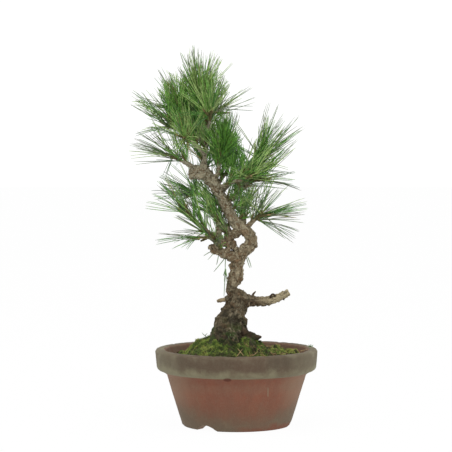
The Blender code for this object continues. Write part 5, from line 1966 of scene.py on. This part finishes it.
@dataclass
class Cushion:
    """One cushion of moss: its middle, half widths, height over the soil, blades and how dark it is."""

    name: str
    x: float
    y: float
    half_x: float
    half_y: float
    height: float
    blades: int
    tone: float = 1.85

    def top(self, x: float, y: float) -> float:
        """Height of the cushion's surface at a place, or the ground beside it."""
        share = math.hypot((x - self.x) / self.half_x, (y - self.y) / self.half_y)
        if share >= 1:
            return GROUND
        spot = Vector((x, y, 0.0))
        rise = self.height * (1 - share**3) ** 0.7
        lumps = noise.noise(spot / 0.0110) * 0.0042 + noise.noise(spot / 0.0048) * 0.0036
        lumps += noise.noise(spot / 0.0022) * 0.0014
        return GROUND + max(0.0, rise + lumps * min(1.0, (1 - share) * 4))

    def surface(self, rings: int = 26, steps: int = 96) -> tuple:
        """The cushion as a closed body in arrays of points and triangles."""
        points = [(self.x, self.y, self.top(self.x, self.y))]
        for ring in range(1, rings + 1):
            share = (ring / rings) ** 0.8
            for step in range(steps):
                angle = math.tau * step / steps
                x = self.x + math.cos(angle) * self.half_x * share
                y = self.y + math.sin(angle) * self.half_y * share
                points.append((x, y, self.top(x, y)))
        points.append((self.x, self.y, GROUND))
        faces = [(0, 1 + step, 1 + (step + 1) % steps) for step in range(steps)]
        for ring in range(rings - 1):
            for step in range(steps):
                a, b = 1 + ring * steps + step, 1 + ring * steps + (step + 1) % steps
                faces += [(a, a + steps, b), (b, a + steps, b + steps)]
        last = 1 + (rings - 1) * steps
        faces += [(last + (step + 1) % steps, last + step, len(points) - 1) for step in range(steps)]
        return np.array(points), np.array(faces)


@dataclass
class MossBed:
    """The moss on the soil: the cushions and the blades that stand on them."""

    seed: int = 53
    blade: tuple = (0.0007, 0.0019)
    dry_share: float = 0.05
    width: float = 0.00030

    def cushions(self) -> list:
        """The six cushions: the mound round the trunk, the patch on the right and four lower ones."""
        return [
            Cushion("mound", -0.0090, 0.0010, 0.0430, 0.0400, 0.0200, 30000),
            Cushion("patch", 0.0510, 0.0100, 0.0130, 0.0180, 0.0044, 4200, -0.2),
            Cushion("slope", 0.0270, -0.0080, 0.0260, 0.0330, 0.0088, 9000, 1.1),
            Cushion("front", -0.0190, -0.0330, 0.0330, 0.0300, 0.0098, 9000, 2.1),
            Cushion("tuft", 0.0480, -0.0230, 0.0140, 0.0170, 0.0056, 2600, 0.9),
            Cushion("left", -0.0500, -0.0080, 0.0120, 0.0200, 0.0050, 2200, 1.8),
        ]

    def blades_on(self, cushion: Cushion, chance: random.Random) -> list:
        """Roots, tips and shades of the blades on one cushion."""
        found = []
        for _ in range(cushion.blades):
            angle, share = chance.uniform(0, math.tau), math.sqrt(chance.random())
            x = cushion.x + math.cos(angle) * cushion.half_x * share
            y = cushion.y + math.sin(angle) * cushion.half_y * share
            patch = noise.noise(Vector((x, y, 0.3)) / 0.0120)
            patch += 0.7 * noise.noise(Vector((x, y, 0.7)) / 0.0040)
            if patch < -0.26:
                continue
            z = cushion.top(x, y)
            lean = Vector((chance.gauss(0, 0.5), chance.gauss(0, 0.5), 1.0)).normalized()
            lean += Vector(((x - cushion.x) / cushion.half_x, (y - cushion.y) / cushion.half_y, 0)) * 0.6
            length = chance.uniform(*self.blade) * (1.0 + max(0.0, patch))
            # Painted shade: the blades round the trunk's foot and in front of it take darker shades
            near = max(0.0, 1.0 - math.hypot(x + 0.007, y) / 0.028)
            near += max(0.0, 1.0 - math.hypot((x + 0.006) / 0.018, (y + 0.030) / 0.026))
            dapple = 2.0 * patch + 3.0 * noise.noise(Vector((x, y, 1.9)) / 0.0055)
            shade = min(4, max(0, round(cushion.tone + 2.2 * near - dapple + chance.gauss(0, 0.5))))
            if chance.random() < self.dry_share:
                shade = 5
            root = Vector((x, y, z - 0.0003))
            found.append((tuple(root), tuple(root + lean.normalized() * length), shade))
        return found

    def build(self) -> list:
        """Build the cushions and their blades.

        Returns:
            The finished pieces.
        """
        chance = random.Random(self.seed)
        made = []
        for cushion in self.cushions():
            coords, faces = cushion.surface()
            piece = mesh_piece("moss_" + cushion.name + "_bed", coords, faces)
            nodes = ["moss_" + cushion.name] if cushion.name in ("mound", "patch") else []
            made.append(settle(piece, Slot.MOSS, [MOSS_BED.material()], *nodes))
            rows = self.blades_on(cushion, chance)
            roots, tips = (np.array([row[k] for row in rows]) for k in (0, 1))
            numbers = np.array([row[2] for row in rows])
            coords, faces = spike_arrays(roots, tips, self.width)
            piece = mesh_piece("moss_" + cushion.name + "_blades", coords, faces, np.repeat(numbers, 4))
            made.append(settle(piece, Slot.MOSS, [finish.material() for finish in MOSSES]))
        return made


@dataclass
class SoilBed:
    """The soil: its filled body, and the baked clay crumbs on top."""

    crumbs: int = 2600
    reach: float = 0.0690
    sizes: tuple = (0.0005, 0.0015)
    seed: int = 61

    def build(self, beds: list) -> list:
        """Dress the soil's body and scatter crumbs where the moss leaves it bare.

        Args:
            beds: the cushions of moss.

        Returns:
            The finished pieces.
        """
        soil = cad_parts["soil"]
        soil.data.materials.clear()
        soil.data.materials.append(EARTH.material())
        chance = np.random.default_rng(self.seed)
        bpy.ops.mesh.primitive_ico_sphere_add(subdivisions=1, radius=1.0)
        ball = bpy.context.object
        shape = np.array([tuple(vertex.co) for vertex in ball.data.vertices])
        sides = np.array([tuple(face.vertices) for face in ball.data.polygons])
        bpy.data.objects.remove(ball)
        angle = chance.uniform(0, math.tau, self.crumbs)
        out = self.reach * np.sqrt(chance.uniform(0, 1, self.crumbs))
        x, y = out * np.cos(angle), out * np.sin(angle)
        bare = np.ones(self.crumbs, bool)
        for bed in beds:
            bare &= np.hypot((x - bed.x) / bed.half_x, (y - bed.y) / bed.half_y) > 0.93
        x, y = x[bare], y[bare]
        count = len(x)
        size = chance.uniform(*self.sizes, (count, 1, 1)) * chance.uniform(0.6, 1.15, (count, 1, 3))
        turn, _ = np.linalg.qr(chance.normal(size=(count, 3, 3)))
        lumps = shape[None] * (1 + chance.uniform(-0.22, 0.22, (count, len(shape), 1)))
        points = np.einsum("nij,nkj->nki", turn, lumps * size)
        points += np.stack([x, y, SOIL_TOP + size[:, 0, 0] * 0.35], axis=1)[:, None, :]
        faces = sides[None] + np.arange(count)[:, None, None] * len(shape)
        numbers = np.repeat(chance.choice(3, count, p=(0.55, 0.30, 0.15)), len(sides))
        piece = mesh_piece("soil_crumbs", points.reshape(-1, 3), faces.reshape(-1, 3), numbers, smooth=False)
        return [settle(piece, Slot.SOIL, [finish.material() for finish in CRUMBS])]


@dataclass
class Strays:
    """Loose needles, as rows of root and point: dry, hanging and standing ones, and a weed; and litter."""

    dry: tuple = metres(
        (0.5, -61, 76, 6, -33, 80), (1, -34, 80, 6.6, -60, 75.8), (15, -60, 75.8, 21, -42, 78.2),
        (63.2, -30, 77.1, 70.5, -15, 77.4), (56, -24, 70.2, 65, -24, 70), (-60, -10, 70, -50, -18, 70.2),
        (-10, 56, 70.2, 4, 50, 70.6), (30, 48, 70, 42, 42, 70.2), (28, -44, 71.2, 20, -50, 70.4),
        (42, -40, 70, 52, -35, 70.4),
    )
    green: tuple = metres(
        (9.5, -5, 170, 13.5, -8, 157.5), (11, -5, 169, 14.7, -9, 158.3), (-11, -5, 168.5, -23, -10, 154),
        (-22, -6, 174, -29, -9, 166), (-24, -6, 175, -33, -9, 170), (-18, -6, 170, -20, -9, 161),
        (-11, -6, 168, -11.2, -6.2, 154), (-10.8, -6.2, 156, -12.6, -6, 128.5),
        (-10.6, -6.6, 157, -9.2, -8, 142), (-11.4, -6.4, 158, -9, -10, 149),
        (-11.2, -6.6, 156, -13.2, -7, 150), (-11.6, -6.2, 156.5, -12, -8, 148),
        (-11, -7, 155.5, -10, -8.6, 150), (-11.2, -6.8, 155, -12.2, -8.2, 144),
        (-6.8, -19, 86.5, -6, -20, 93.5), (-6.8, -19, 86.5, -8.4, -20.5, 91.5),
        (-6.6, -19, 86.5, -4.6, -20.5, 90.5), (-40, 0, 330, -43.7, 0, 380.5),
        (-30, -5, 85.5, -31.4, -5.6, 90.2), (-31.3, -5.6, 90, -34.6, -5.6, 93.2),
        (-31.2, -5.6, 89.8, -29, -6, 92.2), (74, 15.1, 76.3, 73.2, 15, 79),
        (74.8, 15.1, 76.3, 75.2, 15, 79.6), (75.6, 15.1, 76.3, 77.4, 15, 78.8),
        (74.4, 15.1, 76.3, 76.4, 15, 77.9), (75.2, 15.1, 76.3, 73.8, 15, 78.2),
    )
    standing: tuple = metres(
        (-38.5, 0, 330, -53.5, -2, 374), (-34, 0, 328, -26.2, 1, 374.2), (-31, 0, 323, -17.2, 2, 366),
        (-36, 0, 332, -44, 1, 377), (-24, 2, 313, 0.5, 4, 331), (-24, 1, 314, 15, 2, 339.5),
        (-23, 2, 312, 19, 3, 329), (-62, -6, 299, -102.8, -10, 330.8), (-64, -6, 298, -106.8, -8, 321),
        (-56, -5, 301, -80.8, -6, 337.8), (-56, -5, 300, -85.5, -8, 332.5), (-52, -2, 310, -76, -2, 349.5),
        (19, 11, 270, 31.5, 8, 322.2), (20, 11, 270, 42.5, 6, 322), (21, 10, 269, 48.5, 4, 308.8),
        (22, 8, 266, 62.2, 4, 309.8), (23, 7, 265, 68.2, 2, 298.2), (24, 4, 254, 60.5, 2, 284.5),
        (-60, -3, 269, -100.5, -6, 294.5), (-60, -3, 267, -107, -4, 282.5), (-59, -3, 266, -101.2, -5, 264),
        (25, -8, 208, 66.8, -10, 204), (-40.5, 0, 335, -43, 0.5, 380.3), (-38, 0, 335, -39.5, 0.5, 377),
    )
    strands: int = 3
    strand_spread: float = 0.0016
    radius: float = 0.00042
    strand_radius: float = 0.00033
    bits: int = 75
    bit_length: tuple = (0.0025, 0.0085)
    bit_radius: float = 0.00038
    seed: int = 71

    def litter(self, beds: list) -> bpy.types.Object:
        """Scatter short dry scraps over the front right of the moss and the soil.

        Args:
            beds: the cushions of moss.

        Returns:
            The finished piece.
        """
        chance = random.Random(self.seed)
        starts, tips = [], []
        for _ in range(self.bits):
            x, y = chance.uniform(0.010, 0.064), chance.uniform(-0.052, 0.018)
            if math.hypot(x, y) > 0.066:
                continue
            turn, length = chance.uniform(0, math.tau), chance.uniform(*self.bit_length)
            ends = []
            for share in (0.0, 1.0):
                spot = (x + math.cos(turn) * length * share, y + math.sin(turn) * length * share)
                ends.append((*spot, max(bed.top(*spot) for bed in beds) + chance.uniform(0.0006, 0.0016)))
            starts.append(ends[0])
            tips.append(ends[1])
        bows = np.random.default_rng(self.seed).normal(size=(len(starts), 3)) * 0.0004
        lines = needle_lines(np.array(starts), np.array(tips), bows, np.full(len(starts), self.bit_radius))
        return tubes("litter", lines, (4, 0.2, self.seed), Slot.NEEDLES, LITTER)

    def strays(self) -> bpy.types.Object:
        """Set the long needles that stand out of the crown, a few strands to each place."""
        chance = np.random.default_rng(self.seed + 1)
        ends = np.repeat(np.array(self.standing).reshape(-1, 2, 3), self.strands, axis=0)
        ends += chance.normal(size=ends.shape) * self.strand_spread
        ends[:, 1, 0] = np.maximum(ends[:, 1, 0], GrowthRule.left + 2 * self.radius)
        ends[:, 1, 2] = np.minimum(ends[:, 1, 2], GrowthRule.top - self.radius)
        bows = chance.normal(size=(len(ends), 3)) * 0.0012
        lines = needle_lines(ends[:, 0], ends[:, 1], bows, np.full(len(ends), self.strand_radius))
        finish = needle_finish("standing", (100, 122, 78))
        return tubes("standing_needles", lines, (3, 0.0, self.seed), Slot.NEEDLES, finish)

    def build(self, beds: list) -> list:
        """Build the litter and the loose needles."""
        chance = np.random.default_rng(self.seed)
        made = [self.litter(beds), self.strays()]
        for name, rows, finish in (
            ("dry_needles", self.dry, DRY),
            ("hanging_needles", self.green, needle_finish("hanging", (92, 118, 72))),
        ):
            ends = np.array(rows).reshape(-1, 2, 3)
            bows = chance.normal(size=(len(rows), 3)) * 0.0006
            lines = needle_lines(ends[:, 0], ends[:, 1], bows, np.full(len(rows), self.radius))
            made.append(tubes(name, lines, (4, 0.0, self.seed), Slot.NEEDLES, finish))
        return made


@dataclass
class Studio:
    """The pale floor, the soft lights and the camera."""

    distance: float = 2.0
    eye: float = 0.292
    aim: float = 0.1995
    side: float = -0.0105
    lens: float = 159.45
    floor_grey: tuple = (40, 40, 40)
    floor_glow: float = 0.97

    def light(self, name: str, place: tuple, size: float, power: float) -> None:
        """Hang one square soft light that faces the plant."""
        lamp = bpy.data.lights.new(name, "AREA")
        lamp.size = size
        lamp.energy = power
        piece = bpy.data.objects.new(name, lamp)
        bpy.context.scene.collection.objects.link(piece)
        piece.location = place
        piece.rotation_euler = (Vector((0.0, 0.0, 0.15)) - Vector(place)).to_track_quat("-Z", "Y").to_euler()

    def build(self) -> None:
        """Build floor, world, lights and camera."""
        scene = bpy.context.scene
        scene.view_settings.view_transform = "Standard"
        world = bpy.data.worlds.new("studio")
        world.use_nodes = True
        world.node_tree.nodes["Background"].inputs["Color"].default_value = (1.0, 1.0, 1.0, 1.0)
        world.node_tree.nodes["Background"].inputs["Strength"].default_value = 1.07
        scene.world = world
        deselect()
        bpy.ops.mesh.primitive_plane_add(size=12.0, location=(0.0, 3.0, 0.0))
        floor = bpy.context.object
        floor.name = "floor"
        material = bpy.data.materials.new("floor")
        material.use_nodes = True
        shader = material.node_tree.nodes["Principled BSDF"]
        shader.inputs["Base Color"].default_value = linear(self.floor_grey)
        shader.inputs["Roughness"].default_value = 1.0
        shader.inputs["Specular IOR Level"].default_value = 0.0
        shader.inputs["Emission Color"].default_value = (1.0, 1.0, 1.0, 1.0)
        shader.inputs["Emission Strength"].default_value = self.floor_glow
        floor.data.materials.append(material)
        self.light("key", (-0.4, -0.8, 1.8), 1.8, 20.0)
        self.light("fill", (1.4, -0.9, 0.7), 1.2, 7.0)
        camera = bpy.data.cameras.new("camera")
        camera.lens = self.lens
        camera.clip_start = 0.05
        piece = bpy.data.objects.new("camera", camera)
        scene.collection.objects.link(piece)
        x = SHIFT.x + self.side
        piece.location = (x, -self.distance, self.eye)
        view = Vector((x, 0.0, self.aim)) - piece.location
        piece.rotation_euler = view.to_track_quat("-Z", "Y").to_euler()
        scene.camera = piece


def main() -> None:
    """Build the studio and every sub-assembly, and report each piece."""
    logging.basicConfig(level=logging.INFO, format="%(message)s")
    noise.seed_set(SEED)
    deselect()
    Studio().build()
    moss = MossBed()
    pieces = Pot().build() + SoilBed().build(moss.cushions()) + moss.build() + Timber().build()
    pieces += Foliage().build() + Strays().build(moss.cushions())
    LOG.info("%d pieces", len(pieces))


if __name__ == "__main__":
    main()
